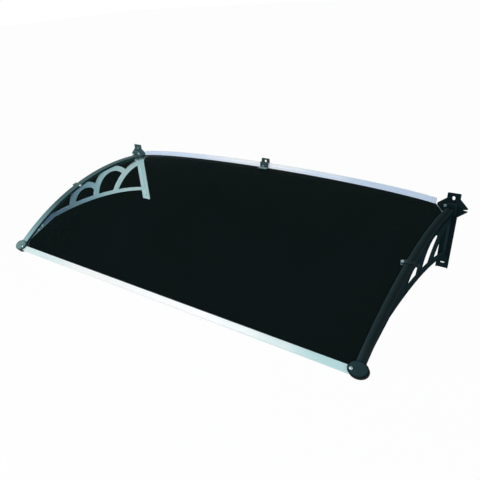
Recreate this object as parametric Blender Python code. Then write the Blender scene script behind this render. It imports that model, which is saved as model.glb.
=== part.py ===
# Window awning: a smoked polycarbonate sheet held between an aluminium front bar and an arched
# aluminium rear bar, on two moulded wall brackets whose webs carry three overlapping arches.
# Metres, +Z up, +X to the right, the wall is the plane y = 0 and the awning reaches towards -Y.
# The origin is on the wall, at mid-width, on the back face of the middle clip.

import bpy
import bmesh
import math
from mathutils import Matrix, Vector

# Fits
gap = 0.0003                  # between pieces that touch
screw_play = 0.0003           # round a screw's shank, on the radius

# Whole awning
half_span = 0.600             # mid-plane of each wall post from the middle
front_y = -0.6040             # rear edge of the front bar's lip
rear_y = -0.0105              # front face of the rear bar
sheet_crown = 0.0350          # rise of the sheet's rear edge at mid-width
crown_fullness = 0.62         # below 1 the rear edge rises sooner beside the arms
sheet_thickness = 0.003
rear_corner_half = half_span - 0.0405     # half-width of the sheet behind its rear notches
front_corner_half = half_span - 0.0370    # and in front of its front notches
rear_notch_y = rear_y - 0.0415            # the sheet's rear corners slant forward to here, at the arm
front_notch_y = front_y + 0.0050          # and its front corners to here

# Arm: an arc in the plane of depth and height, toed in towards the front
arm_apex_y = -0.1500
arm_apex_z = -0.0214
arm_radius = 0.865            # to the top of the cover strip
arm_width = 0.020
arm_root_x = half_span - 0.002            # arm centre line where it would reach the wall
toe_in = 0.031                # inward travel for each metre of reach
strip_thickness = 0.0045
strip_edge = 0.0014           # height lost to the rounding along the strip's sides
rail_thickness = 0.0035
rail_lip = 0.0032             # width of the upstand outside the sheet
arm_tip_y = front_y + 0.0045

# Web below the arm
web_thickness = 0.008
web_offset = 0.003            # outward from the arm's centre line
web_bury = 0.0012             # how far the web goes up into the rail
chord_apex_y = -0.4000
chord_drop = 0.0565           # its lowest line below the arm's top, at the apex
chord_radius = 1.120
chord_width = 0.012
chord_end_y = front_y + 0.1440            # the chord's lower edge turns down to the flank here
flank_y = front_y + 0.0380                # and meets it here
flank_depth = 0.0185          # depth of the arm in front of the web
gusset_y = chord_end_y - 0.0045           # solid web in front of this
rear_arch_y = -0.0160
rear_arch_drop = 0.2282       # centre below the arm's top, like the two below
rear_arch_radius = 0.187      # to its inner edge, like the two below
rear_arch_width = 0.018
middle_arch_y = -0.1700
middle_arch_drop = 0.1114
middle_arch_radius = 0.082
middle_arch_width = 0.0212
front_arch_y = -0.3070
front_arch_drop = 0.0902
front_arch_radius = 0.0585
front_arch_width = 0.0222
opening_root_y = -0.0110      # rear end of the web's lowest opening
spandrel_root_y = -0.0300     # rear end of the one under the arm's root

# Wall plate with its tab, wings and post
plate_thickness = 0.0045
tab_half = 0.0175
tab_top_z = 0.0065
tab_shoulder_z = -0.0090
wing_half = 0.0403
wing_inner_z = -0.0275        # tip of the wing nearer the middle
wing_inner_tip = 0.0055       # and its blunt height
wing_inner_foot_z = -0.0580
wing_outer_z = -0.0325
wing_outer_tip = 0.0098
wing_outer_foot_z = -0.0620
fork_depth = 0.0105           # notch in the outer wing's tip
fork_z = -0.0395
fork_low = 0.0035             # height of the tip below the notch
post_half = 0.0170
post_foot_z = -0.2265
post_rib_width = 0.0035
post_rib_height = 0.0030
tab_slot_z = -0.0070
tab_slot_width = 0.008
tab_slot_length = 0.013
foot_slot_z = -0.2100
foot_slot_width = 0.005
foot_slot_length = 0.012
nose_y = -0.0205              # front face of the arm's root plate
nose_thickness = 0.004
nose_top_z = -0.0185
nose_top_half = 0.0125
nose_lug = 0.0225             # reach of its screw lug towards the middle
nose_lug_z = -0.0200
nose_lug_foot_z = -0.0300
nose_foot_z = -0.0520
core_half = 0.0125
core_top_z = -0.0205
core_foot_z = -0.0560

# Front bar, measured along the sheet and square to it
front_bar_end_x = half_span - 0.0255
bar_lip = 0.0020
front_bar_reach = 0.0160
front_bar_depth = 0.0125
front_bar_wall = 0.0016
front_bar_edge = 0.0008
slot_depth = 0.0090
gasket_thickness = 0.0012

# Rear bar, its wall seals and the middle clip
rear_bar_end_x = half_span - 0.0438
rear_bar_face = 0.0085        # height of the lower face above the sheet
rear_bar_height = 0.0160      # height of the whole bar above the sheet
rear_bar_step = 0.0032        # the upper face lies this far behind the lower one
rear_bar_wall = 0.0016
rear_slot_depth = 0.0045
seal_thickness = 0.0026
seal_height = 0.0110
clip_half = 0.0150
clip_thickness = 0.0023
clip_top_z = 0.0270
clip_foot_z = -0.0100
clip_hole_z = 0.0178
clip_hole_radius = 0.0042
clip_tongue = 0.0155

# Front cap
cap_y = front_y - 0.0050                  # centre of the cap along the arm
cap_offset = 0.0007           # outward from the arm's centre line
cap_half_width = 0.0230
cap_half_length = 0.0182      # along the arm
cap_crown = 0.0042            # top of the dome above the arm
cap_depth = 0.0165            # underside below the arm
cap_round = 0.0030

# Arm clamp
clamp_y = -0.3355
clamp_half = 0.0062           # half its length along the arm, also the ears' radius
clamp_thickness = 0.0018
ear_reach = 0.0070            # ear centre from the strip's side
lug_drop = 0.0048             # outer lug below the top of the arm

# Fasteners
pan_radius = 0.0042
pan_height = 0.0024
shank_radius = 0.0018
small_pan_radius = 0.0027
small_pan_height = 0.0014
small_shank_radius = 0.0012
drive_width = 0.0009
nut_radius = 0.0040
nut_height = 0.0030
nose_screw_x = 0.0155         # inward from the post's mid-plane
nose_screw_z = -0.0245
cap_screw_inset = 0.0134      # inward from the cap's centre
cap_screw_lead = 0.0033       # and forward along the slope
cap_screw_length = 0.0145
cap_recess_play = 0.0005      # round the screw's head
cap_seat = 0.0016             # its seat above the arm's top
clip_screw_x = -0.0030
web_screw_places = ((0.0700, 0.0192), (0.0880, 0.0209))    # behind front_y, below the arm's top

arm_stations = 26
sheet_columns = 12            # from the middle to a notched corner
sheet_rows = 20


def arm_x(y):
    return arm_root_x + toe_in * y


def arc_z(y, depth=0.0):
    radius = arm_radius - depth
    centre_z = arm_apex_z - arm_radius
    return centre_z + math.sqrt(radius ** 2 - (y - arm_apex_y) ** 2)


def sheet_depth():
    return strip_thickness + gap


def rail_depth():
    return sheet_depth() + sheet_thickness + gap


def clamp_edge(y):
    return arm_x(y) - arm_width / 2.0


def sheet_top(x, y):
    edge = clamp_edge(y)
    share = min(abs(x) / edge, 1.0)
    reach = (y - front_y) / (rear_y - front_y)
    rise = sheet_crown * max(reach, 0.0) * (1.0 - share ** 2) ** crown_fullness
    return arc_z(y, sheet_depth()) + rise


def arm_tilt(y):
    return math.asin((arm_apex_y - y) / arm_radius)


def material(name, colour, roughness, metallic=0.0, alpha=1.0):
    new = bpy.data.materials.new(name)
    new.use_nodes = True
    shader = new.node_tree.nodes["Principled BSDF"]
    shader.inputs["Base Color"].default_value = (colour[0], colour[1], colour[2], 1.0)
    shader.inputs["Roughness"].default_value = roughness
    shader.inputs["Metallic"].default_value = metallic
    shader.inputs["Alpha"].default_value = alpha
    return new


def place(name, bm, finish):
    bmesh.ops.recalc_face_normals(bm, faces=bm.faces)
    mesh = bpy.data.meshes.new(name)
    bm.to_mesh(mesh)
    bm.free()
    if finish is not None:
        mesh.materials.append(finish)
    piece = bpy.data.objects.new(name, mesh)
    bpy.context.scene.collection.objects.link(piece)
    return piece


def smooth(piece, angle=35.0):
    piece.data.shade_smooth()
    piece.data.set_sharp_from_angle(angle=math.radians(angle))
    return piece


def loft(name, rings, finish):
    bm = bmesh.new()
    rows = [[bm.verts.new(point) for point in ring] for ring in rings]
    for first, second in zip(rows, rows[1:]):
        for i in range(len(first)):
            j = (i + 1) % len(first)
            bm.faces.new((first[i], first[j], second[j], second[i]))
    caps = [bm.faces.new(rows[0]), bm.faces.new(rows[-1])]
    for cap in caps:
        cap.normal_update()
    bmesh.ops.triangulate(bm, faces=caps)
    return place(name, bm, finish)


def sheared_plate(name, outline, holes, at, finish):
    """Solid between two copies of a flat outline with holes; at() puts a point on either face."""
    bm = bmesh.new()
    for face in (0, 1):
        edges = []
        for loop in [outline] + holes:
            verts = [bm.verts.new(at(a, b, face)) for a, b in loop]
            for i in range(len(verts)):
                edges.append(bm.edges.new((verts[i - 1], verts[i])))
        bmesh.ops.triangle_fill(bm, use_beauty=True, edges=edges)
    bm.verts.ensure_lookup_table()
    count = len(bm.verts) // 2
    start = 0
    for loop in [outline] + holes:
        for i in range(len(loop)):
            a = start + i
            b = start + (i + 1) % len(loop)
            bm.faces.new((bm.verts[a], bm.verts[b], bm.verts[b + count], bm.verts[a + count]))
        start += len(loop)
    return place(name, bm, finish)


def boxed(name, low, high, finish=None, matrix=None):
    bm = bmesh.new()
    centre = [(a + b) / 2.0 for a, b in zip(low, high)]
    size = [b - a for a, b in zip(low, high)]
    bmesh.ops.create_cube(bm, size=1.0, matrix=Matrix.Translation(centre) @ Matrix.Diagonal((*size, 1.0)))
    if matrix is not None:
        bmesh.ops.transform(bm, matrix=matrix, verts=bm.verts)
    return place(name, bm, finish)


def turned(name, profile, matrix, finish=None, segments=24):
    """Solid of revolution about local Z; profile runs from the axis out and back to the axis."""
    bm = bmesh.new()
    rings = []
    for radius, height in profile[1:-1]:
        ring = []
        for k in range(segments):
            angle = 2.0 * math.pi * k / segments
            ring.append(bm.verts.new((radius * math.cos(angle), radius * math.sin(angle), height)))
        rings.append(ring)
    ends = [bm.verts.new((0.0, 0.0, profile[0][1])), bm.verts.new((0.0, 0.0, profile[-1][1]))]
    for end, ring in ((ends[0], rings[0]), (ends[1], rings[-1])):
        for k in range(segments):
            bm.faces.new((end, ring[k], ring[(k + 1) % segments]))
    for first, second in zip(rings, rings[1:]):
        for k in range(segments):
            j = (k + 1) % segments
            bm.faces.new((first[k], first[j], second[j], second[k]))
    bmesh.ops.transform(bm, matrix=matrix, verts=bm.verts)
    return place(name, bm, finish)


def helper(piece):
    piece.hide_render = True
    piece.display_type = "WIRE"
    return piece


def combine(piece, other, operation):
    helper(other)
    step = piece.modifiers.new(other.name, "BOOLEAN")
    step.operation = operation
    step.solver = "EXACT"
    step.object = other
    return piece


def cut(piece, other):
    return combine(piece, other, "DIFFERENCE")


def join(piece, other):
    return combine(piece, other, "UNION")


def frame_at(origin, x_axis, z_axis):
    """Matrix whose local X and Z lie along the given directions."""
    z_dir = Vector(z_axis).normalized()
    x_dir = Vector(x_axis).normalized()
    y_dir = z_dir.cross(x_dir)
    matrix = Matrix((x_dir, y_dir, z_dir)).transposed().to_4x4()
    matrix.translation = origin
    return matrix


def arm_frame(x, y, depth=0.0):
    """Local X along world X, local Y up the slope towards the wall, local Z square to the arm."""
    tilt = arm_tilt(y)
    return frame_at((x, y, arc_z(y, depth)), (1.0, 0.0, 0.0), (0.0, -math.sin(tilt), math.cos(tilt)))


def lerp(a, b, share):
    return a + (b - a) * share


def arc_between(centre, start, end, steps):
    """Points on the shorter arc from start to end, without its last point."""
    first = math.atan2(start[1] - centre[1], start[0] - centre[0])
    last = math.atan2(end[1] - centre[1], end[0] - centre[0])
    turn = (last - first + math.pi) % (2.0 * math.pi) - math.pi
    radius = math.hypot(start[0] - centre[0], start[1] - centre[1])
    points = []
    for k in range(steps):
        angle = first + turn * k / steps
        points.append((centre[0] + radius * math.cos(angle), centre[1] + radius * math.sin(angle)))
    return points


def meet(one, other, rearward):
    """Crossing of two circles (y, z, radius): the one nearer the wall, or the other."""
    dy = other[0] - one[0]
    dz = other[1] - one[1]
    span = math.hypot(dy, dz)
    along = (one[2] ** 2 - other[2] ** 2 + span ** 2) / (2.0 * span)
    off = math.sqrt(one[2] ** 2 - along ** 2)
    foot = (one[0] + along * dy / span, one[1] + along * dz / span)
    pair = []
    for sign in (-1.0, 1.0):
        pair.append((foot[0] - sign * off * dz / span, foot[1] + sign * off * dy / span))
    pair.sort()
    return pair[1] if rearward else pair[0]


def on_circle(circle, y):
    return (y, circle[1] + math.sqrt(circle[2] ** 2 - (y - circle[0]) ** 2))


def web_circles():
    arm_centre_z = arm_apex_z - arm_radius
    chord_centre_z = arc_z(chord_apex_y) - chord_drop - chord_radius
    rear_z = arc_z(rear_arch_y) - rear_arch_drop
    middle_z = arc_z(middle_arch_y) - middle_arch_drop
    front_z = arc_z(front_arch_y) - front_arch_drop
    under = rail_depth() + rail_thickness - web_bury
    return {
        "under": (arm_apex_y, arm_centre_z, arm_radius - under),
        "top": (arm_apex_y, arm_centre_z, arm_radius - under + web_bury / 2.0),
        "flank": (arm_apex_y, arm_centre_z, arm_radius - flank_depth),
        "chord_low": (chord_apex_y, chord_centre_z, chord_radius),
        "chord_top": (chord_apex_y, chord_centre_z, chord_radius + chord_width),
        "rear_in": (rear_arch_y, rear_z, rear_arch_radius),
        "rear_out": (rear_arch_y, rear_z, rear_arch_radius + rear_arch_width),
        "middle_in": (middle_arch_y, middle_z, middle_arch_radius),
        "middle_out": (middle_arch_y, middle_z, middle_arch_radius + middle_arch_width),
        "front_in": (front_arch_y, front_z, front_arch_radius),
        "front_out": (front_arch_y, front_z, front_arch_radius + front_arch_width),
    }


def web_outline(c):
    rear = -plate_thickness / 2.0
    tip = arm_tip_y + gap
    points = arc_between(c["top"][:2], on_circle(c["top"], rear), on_circle(c["top"], tip), 34)
    points.append(on_circle(c["top"], tip))
    points += arc_between(c["flank"][:2], on_circle(c["flank"], tip), on_circle(c["flank"], flank_y), 3)
    points.append(on_circle(c["flank"], flank_y))
    low = arc_between(c["chord_low"][:2], on_circle(c["chord_low"], chord_end_y),
                      on_circle(c["chord_low"], rear), 22)
    points += low
    points.append(on_circle(c["chord_low"], rear))
    return points


def web_openings(c):
    def ring(*sides):
        points = []
        for name, start, end, steps in sides:
            if name is None:
                points.append(start)
            else:
                points += arc_between(c[name][:2], start, end, steps)
        return points

    openings = []
    a0 = meet(c["chord_top"], c["rear_in"], False)
    a1 = on_circle(c["rear_in"], opening_root_y)
    a2 = on_circle(c["chord_top"], opening_root_y)
    openings.append(ring(("rear_in", a0, a1, 12), (None, a1, a2, 1), ("chord_top", a2, a0, 6)))
    b0 = meet(c["chord_top"], c["middle_in"], False)
    b1 = meet(c["middle_in"], c["rear_out"], True)
    b2 = meet(c["chord_top"], c["rear_out"], False)
    openings.append(ring(("middle_in", b0, b1, 16), ("rear_out", b1, b2, 7), ("chord_top", b2, b0, 4)))
    c0 = meet(c["chord_top"], c["front_in"], False)
    c1 = meet(c["front_in"], c["middle_out"], True)
    c2 = meet(c["chord_top"], c["middle_out"], False)
    openings.append(ring(("front_in", c0, c1, 12), ("middle_out", c1, c2, 3), ("chord_top", c2, c0, 4)))
    s0 = meet(c["under"], c["middle_out"], True)
    s1 = on_circle(c["under"], spandrel_root_y)
    s2 = on_circle(c["rear_out"], spandrel_root_y)
    s3 = meet(c["middle_out"], c["rear_out"], True)
    openings.append(ring(("under", s0, s1, 7), (None, s1, s2, 1), ("rear_out", s2, s3, 5),
                         ("middle_out", s3, s0, 5)))
    t0 = meet(c["under"], c["front_out"], True)
    t1 = meet(c["under"], c["middle_out"], False)
    t2 = meet(c["front_out"], c["middle_out"], True)
    openings.append(ring(("under", t0, t1, 5), ("middle_out", t1, t2, 4), ("front_out", t2, t0, 4)))
    w0 = on_circle(c["under"], gusset_y)
    w1 = meet(c["under"], c["front_out"], False)
    w2 = meet(c["chord_top"], c["front_out"], False)
    w3 = on_circle(c["chord_top"], gusset_y)
    openings.append(ring(("under", w0, w1, 6), ("front_out", w1, w2, 6), ("chord_top", w2, w3, 4),
                         (None, w3, w0, 1)))
    return openings


def arm_rings(side, offsets, y_start, y_end, stations):
    """Section points (offset across, depth below the arm's top), swept along the arm."""
    rings = []
    for k in range(stations):
        y = lerp(y_start, y_end, k / (stations - 1))
        ring = [(side * (arm_x(y) + across), y, arc_z(y, depth)) for across, depth in offsets]
        rings.append(ring)
    return rings


def stadium(centre, half_width, half_length, upright, steps=6):
    points = []
    straight = half_length - half_width
    for end in (1.0, -1.0):
        for k in range(steps + 1):
            angle = math.pi * k / steps
            across = half_width * math.cos(angle) * end
            along = (straight + half_width * math.sin(angle)) * end
            pair = (across, along) if upright else (-along, across)
            points.append((centre[0] + pair[0], centre[1] + pair[1]))
    return points


def upright_plate(name, side, outline, holes, y_low, y_high, finish):
    def at(a, b, face):
        return (side * (half_span + a), (y_low, y_high)[face], b)
    return sheared_plate(name, outline, holes, at, finish)


def plate_outline():
    """Tab, forked outer wing, post and inner wing; positive is outward."""
    outer = wing_outer_z - wing_outer_tip
    return [(tab_half, tab_top_z), (tab_half, tab_shoulder_z), (wing_half, wing_outer_z),
            (wing_half, wing_outer_z - fork_low), (wing_half - fork_depth, fork_z),
            (wing_half, outer + fork_low), (wing_half, outer), (post_half, wing_outer_foot_z),
            (post_half, post_foot_z), (-post_half, post_foot_z), (-post_half, wing_inner_foot_z),
            (-wing_half, wing_inner_z - wing_inner_tip), (-wing_half, wing_inner_z),
            (-tab_half, tab_shoulder_z), (-tab_half, tab_top_z)]


def nose_outline():
    return [(nose_top_half, nose_top_z), (nose_top_half, nose_foot_z), (-nose_top_half, nose_foot_z),
            (-nose_lug, nose_lug_foot_z), (-nose_lug, nose_lug_z), (-nose_top_half, nose_top_z)]


def make_bracket(side, word, finish):
    circles = web_circles()

    def web_at(a, b, face):
        across = web_offset + web_thickness * (face - 0.5)
        return (side * (arm_x(a) + across), a, b)

    bracket = sheared_plate(word + "_bracket", web_outline(circles), web_openings(circles), web_at, finish)
    lip_in = arm_width / 2.0 - rail_lip
    rail_low = rail_depth() + rail_thickness
    section = [(-arm_width / 2.0, rail_depth()), (lip_in, rail_depth()), (lip_in, sheet_depth()),
               (arm_width / 2.0, sheet_depth()), (arm_width / 2.0, rail_low), (-arm_width / 2.0, rail_low)]
    rings = arm_rings(side, section, nose_y + nose_thickness / 2.0, arm_tip_y, arm_stations)
    join(bracket, loft(word + "_rail_body", rings, None))
    plate = plate_outline()
    slots = [stadium((0.0, tab_slot_z), tab_slot_width / 2.0, tab_slot_length / 2.0, True),
             stadium((0.0, foot_slot_z), foot_slot_width / 2.0, foot_slot_length / 2.0, False)]
    join(bracket, upright_plate(word + "_plate_body", side, plate, slots, -plate_thickness, 0.0, None))
    rib_front = -plate_thickness - post_rib_height
    for end, low_x in (("a", -post_half), ("b", post_half - post_rib_width)):
        low = (side * half_span + low_x, rib_front, post_foot_z)
        high = (low[0] + post_rib_width, -plate_thickness / 2.0, wing_outer_foot_z)
        join(bracket, boxed(word + "_rib_body_" + end, low, high))
    nose = nose_outline()
    join(bracket, upright_plate(word + "_nose_body", side, nose, [], nose_y, nose_y + nose_thickness, None))
    centre = side * half_span
    join(bracket, boxed(word + "_core_body", (centre - core_half, nose_y + nose_thickness / 2.0, core_foot_z),
                        (centre + core_half, -plate_thickness / 2.0, core_top_z)))
    hole = shank_radius + screw_play
    screw_x = side * (half_span - nose_screw_x)
    place_at = frame_at((screw_x, nose_y, nose_screw_z), (1.0, 0.0, 0.0), (0.0, -1.0, 0.0))
    cut(bracket, drill(word + "_nose_hole", hole, nose_thickness * 1.5, place_at))
    for k, (back, drop) in enumerate(web_screw_places):
        hole = small_shank_radius + screw_play
        place_at = web_screw_frame(side, back, drop)
        cut(bracket, drill(word + "_web_hole_%d" % k, hole, web_thickness * 0.75, place_at))
    return bracket


def web_screw_frame(side, back, drop):
    y = front_y + back
    inner = arm_x(y) + web_offset - web_thickness / 2.0
    return frame_at((side * inner, y, arc_z(y) - drop), (0.0, side, 0.0), (-side, 0.0, 0.0))


def drill(name, radius, depth, matrix, above=0.002):
    profile = [(0.0, -depth), (radius, -depth), (radius, above), (0.0, above)]
    return turned(name, profile, matrix, segments=16)


def make_strip(side, word, finish):
    half = arm_width / 2.0
    section = [(-half, strip_thickness), (-half, strip_edge), (-half * 0.86, strip_edge * 0.42),
               (-half * 0.6, 0.0), (half * 0.6, 0.0), (half * 0.86, strip_edge * 0.42),
               (half, strip_edge), (half, strip_thickness)]
    rings = arm_rings(side, section, nose_y - gap, arm_tip_y, arm_stations)
    return smooth(loft(word + "_cover_strip", rings, finish), 25.0)


def outer_columns(y):
    """Places from a front corner's half-width out to the sheet's edge under the arm's cover."""
    places = [front_corner_half]
    for share in (0.4, 0.75, 1.0):
        places.append(lerp(front_corner_half, clamp_edge(y), share))
    places.append(arm_x(y) + arm_width / 2.0 - rail_lip - gap)
    return places


def sheet_grid():
    """Depth and places across the right half for each row of the sheet, from front to rear."""
    inner = [rear_corner_half * math.sin(math.pi / 2.0 * k / sheet_columns)
             for k in range(sheet_columns + 1)]
    front_end = front_y - (slot_depth - gap) * math.cos(arm_tilt(front_y))
    grid = [(front_end, inner + [front_corner_half])]
    for k in range(sheet_rows + 1):
        y = lerp(front_notch_y, rear_notch_y, k / sheet_rows)
        grid.append((y, inner + outer_columns(y)))
    # each row over the slanted corner ends on its line, at one of the columns
    corner = outer_columns(rear_notch_y)[:-1]
    for k in range(len(corner) - 1, 0, -1):
        share = (corner[-1] - corner[k - 1]) / (corner[-1] - rear_corner_half)
        grid.append((lerp(rear_notch_y, rear_y, share), inner + corner[:k]))
    grid.append((rear_y, inner))
    grid.append((rear_y + rear_slot_depth - gap, inner))
    return grid


def make_sheet(finish):
    bm = bmesh.new()
    top = []
    twins = {}
    for y, right in sheet_grid():
        tilt = arm_tilt(y)
        row = {}
        for side in (-1, 1):
            for k, x in enumerate(right):
                if side < 0 and k == 0:
                    continue
                z = sheet_top(x, y)
                upper = bm.verts.new((side * x, y, z))
                lower = bm.verts.new((side * x, y + sheet_thickness * math.sin(tilt),
                                      z - sheet_thickness * math.cos(tilt)))
                twins[upper] = lower
                row[side * k] = upper
        top.append(row)
    faces = []
    for first, second in zip(top, top[1:]):
        for k in sorted(first):
            if k + 1 in first and k in second and k + 1 in second:
                faces.append(bm.faces.new((first[k], first[k + 1], second[k + 1], second[k])))
    for first, second in zip(top[sheet_rows + 1:], top[sheet_rows + 2:]):
        last = max(second)
        if last + 1 in first:
            for side in (-1, 1):
                trio = [first[side * last], first[side * (last + 1)], second[side * last]]
                if side < 0:
                    trio.reverse()
                faces.append(bm.faces.new(trio))
    for face in faces:
        bm.faces.new([twins[vert] for vert in reversed(face.verts)])
    rims = [edge for edge in bm.edges if len(edge.link_faces) == 1 and edge.verts[0] in twins]
    for edge in rims:
        a, b = edge.verts
        bm.faces.new((a, b, twins[b], twins[a]))
    sheet = smooth(place("sheet", bm, finish))
    hole = shank_radius + screw_play
    for side, word in ((-1.0, "left"), (1.0, "right")):
        cut(sheet, drill(word + "_sheet_hole", hole, 0.012, clamp_screw_frame(side), above=0.012))
    return sheet


def front_frame():
    tilt = arm_tilt(front_y)
    matrix = frame_at((0.0, front_y, arc_z(front_y, sheet_depth())), (1.0, 0.0, 0.0),
                      (0.0, -math.sin(tilt), math.cos(tilt)))
    return matrix


def make_front_bar(finish):
    """Section in (distance forward along the sheet, height square to it)."""
    jaw = -(sheet_thickness + gasket_thickness + 3.0 * gap)
    low = bar_lip - front_bar_depth
    wall = front_bar_wall
    reach = front_bar_reach
    edge = front_bar_edge
    section = [(0.0, gap), (slot_depth, gap), (slot_depth, jaw), (wall, jaw), (wall, jaw - wall),
               (reach - wall, jaw - wall), (reach - wall, low + wall), (wall * 2.0, low + wall),
               (wall * 2.0, low), (reach - edge, low), (reach, low + edge), (reach, bar_lip - edge),
               (reach - edge, bar_lip), (edge, bar_lip), (0.0, bar_lip - edge)]
    matrix = front_frame()
    rings = []
    for x in (-front_bar_end_x, front_bar_end_x):
        rings.append([matrix @ Vector((x, -forward, height)) for forward, height in section])
    bar = loft("front_bar", rings, finish)
    for side, word in ((-1.0, "left"), (1.0, "right")):
        hole = shank_radius + screw_play
        cut(bar, drill(word + "_bar_hole", hole, cap_screw_length + 0.002, cap_screw_frame(side)))
    return bar


def make_front_gasket(finish):
    top = -(sheet_thickness + gap)
    low = top - gasket_thickness
    matrix = front_frame()
    start = front_bar_wall
    end = slot_depth - gap
    reach = front_corner_half
    rings = []
    for x in (-reach, reach):
        section = [(start, top), (end, top), (end, low), (start, low)]
        rings.append([matrix @ Vector((x, -forward, height)) for forward, height in section])
    return loft("front_gasket", rings, finish)


def arched_rings(section, x_start, x_end, stations):
    """Section in (y, height above the sheet), swept along the sheet's rear edge."""
    rings = []
    for k in range(stations):
        x = lerp(x_start, x_end, k / (stations - 1))
        rings.append([(x, y, sheet_top(x, y) + height) for y, height in section])
    return rings


def make_rear_bar(finish):
    back = -seal_thickness - gap
    wall = rear_bar_wall
    jaw = -(sheet_thickness + gasket_thickness + 3.0 * gap)
    deep = rear_y + rear_slot_depth
    section = [(rear_y, gap), (deep, gap), (deep, jaw), (rear_y, jaw), (rear_y, jaw - wall),
               (back, jaw - wall), (back, rear_bar_height), (rear_y + rear_bar_step, rear_bar_height),
               (rear_y + rear_bar_step, rear_bar_face + wall / 2.0), (rear_y, rear_bar_face)]
    bar = loft("rear_bar", arched_rings(section, -rear_bar_end_x, rear_bar_end_x, 29), finish)
    hole = small_shank_radius + screw_play
    cut(bar, drill("bar_clip_hole", hole, 0.006, clip_screw_frame()))
    return bar


def make_rear_gasket(finish):
    top = -(sheet_thickness + gap)
    low = top - gasket_thickness
    deep = rear_y + rear_slot_depth - gap
    section = [(rear_y, top), (deep, top), (deep, low), (rear_y, low)]
    return loft("rear_gasket", arched_rings(section, -rear_bar_end_x, rear_bar_end_x, 29), finish)


def make_seal(side, word, finish):
    base = rear_bar_height - seal_height
    section = [(-seal_thickness, base), (0.0, base + 0.001), (0.0, rear_bar_height - 0.001),
               (-seal_thickness, rear_bar_height)]
    start = side * (clip_half + gap)
    end = side * rear_bar_end_x
    return loft(word + "_wall_seal", arched_rings(section, start, end, 15), finish)


def clip_levels():
    base = sheet_top(0.0, rear_y)
    return base + gap, base + rear_bar_height + gap


def make_clip(finish):
    """One bent strip: wall plate, shelf over the rear bar, leg down its face, tongue on the sheet."""
    t = clip_thickness
    tongue_z, shelf_z = clip_levels()
    leg = rear_y - gap
    end = leg - clip_tongue
    end_z = sheet_top(0.0, end) + gap
    section = [(0.0, clip_foot_z), (0.0, clip_top_z), (-t, clip_top_z), (-t, shelf_z + t),
               (leg - t, shelf_z + t), (leg - t, tongue_z + t), (end, end_z + t),
               (end, end_z), (leg, tongue_z), (leg, shelf_z), (-t, shelf_z), (-t, clip_foot_z)]
    rings = []
    for x in (-clip_half, clip_half):
        rings.append([(x, y, z) for y, z in section])
    clip = loft("middle_clip", rings, finish)
    wall = frame_at((0.0, -t, clip_hole_z), (1.0, 0.0, 0.0), (0.0, -1.0, 0.0))
    cut(clip, drill("clip_wall_hole", clip_hole_radius, t * 2.0, wall))
    hole = small_shank_radius + screw_play
    cut(clip, drill("clip_leg_hole", hole, t * 2.0, clip_screw_frame()))
    return clip


def clip_screw_frame():
    tongue_z, shelf_z = clip_levels()
    leg_front = rear_y - gap - clip_thickness
    middle = tongue_z + clip_thickness + small_pan_radius + 2.0 * gap
    return frame_at((clip_screw_x, leg_front, middle), (1.0, 0.0, 0.0), (0.0, -1.0, 0.0))


def cap_centre(side):
    return side * (arm_x(cap_y) + cap_offset)


def cap_frame(side):
    return arm_frame(cap_centre(side), cap_y)


def cap_screw_frame(side):
    """On the cap's shoulder, over the end of the front bar."""
    return cap_frame(side) @ Matrix.Translation((-side * cap_screw_inset, -cap_screw_lead, cap_seat))


def make_cap(side, word, finish):
    """Domed oval cap with pockets for the arm's end, the sheet's corner and the front bar."""
    radius = cap_half_width
    profile = [(0.0, -cap_depth), (radius - cap_round, -cap_depth), (radius, -cap_depth + cap_round),
               (radius, 0.0)]
    for k in range(1, 6):
        angle = math.pi / 2.0 * k / 6.0
        profile.append((radius * math.cos(angle), cap_crown * math.sin(angle)))
    profile.append((0.0, cap_crown))
    oval = Matrix.Diagonal((1.0, cap_half_length / cap_half_width, 1.0, 1.0))
    cap = turned(word + "_front_cap", profile, cap_frame(side) @ oval, finish, 40)
    inner = cap_centre(side) - side * cap_half_width * 1.2
    outer = side * (front_bar_end_x + gap)
    low = (min(inner, outer), -front_bar_reach - gap, bar_lip - front_bar_depth - gap)
    high = (max(inner, outer), gap, bar_lip + gap)
    cut(cap, boxed(word + "_bar_pocket", low, high, None, front_frame()))
    rear = arm_tip_y + cap_half_length * 1.5
    half = arm_width / 2.0 + gap
    low = flank_depth + gap + cap_depth
    room = [(-half, -gap), (half, -gap), (half, low), (-half, low)]
    cut(cap, loft(word + "_arm_pocket", arm_rings(side, room, arm_tip_y - gap, rear, 3), None))
    low = sheet_depth() + sheet_thickness + gap
    room = [(-cap_half_width * 1.5, strip_thickness), (0.0, strip_thickness), (0.0, low),
            (-cap_half_width * 1.5, low)]
    cut(cap, loft(word + "_sheet_pocket", arm_rings(side, room, front_notch_y - gap, rear, 3), None))
    outer = side * (front_corner_half + gap)
    low = (min(inner, outer), -slot_depth, -sheet_thickness - 2.5 * gap)
    high = (max(inner, outer), cap_half_length, gap)
    cut(cap, boxed(word + "_corner_pocket", low, high, None, front_frame()))
    hole = shank_radius + screw_play
    recess = pan_radius + cap_recess_play
    profile = [(0.0, -cap_screw_length), (hole, -cap_screw_length), (hole, 0.0), (recess, 0.0),
               (recess, 0.01), (0.0, 0.01)]
    cut(cap, turned(word + "_cap_hole", profile, cap_screw_frame(side), None, 24))
    return smooth(cap, 30.0)


def clamp_screw_frame(side):
    """On top of the inner ear, square to the sheet under it."""
    y = clamp_y
    x = arm_x(y) - arm_width / 2.0 - ear_reach
    step = 0.002
    across = Vector((2.0 * step, 0.0, sheet_top(x + step, y) - sheet_top(x - step, y)))
    along = Vector((0.0, 2.0 * step, sheet_top(x, y + step) - sheet_top(x, y - step)))
    normal = across.cross(along).normalized()
    across.normalize()
    foot = Vector((x, y, sheet_top(x, y))) + normal * (gap + clamp_thickness)
    foot.x *= side
    normal.x *= side
    across.z *= side
    return frame_at(foot, across, normal)


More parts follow.
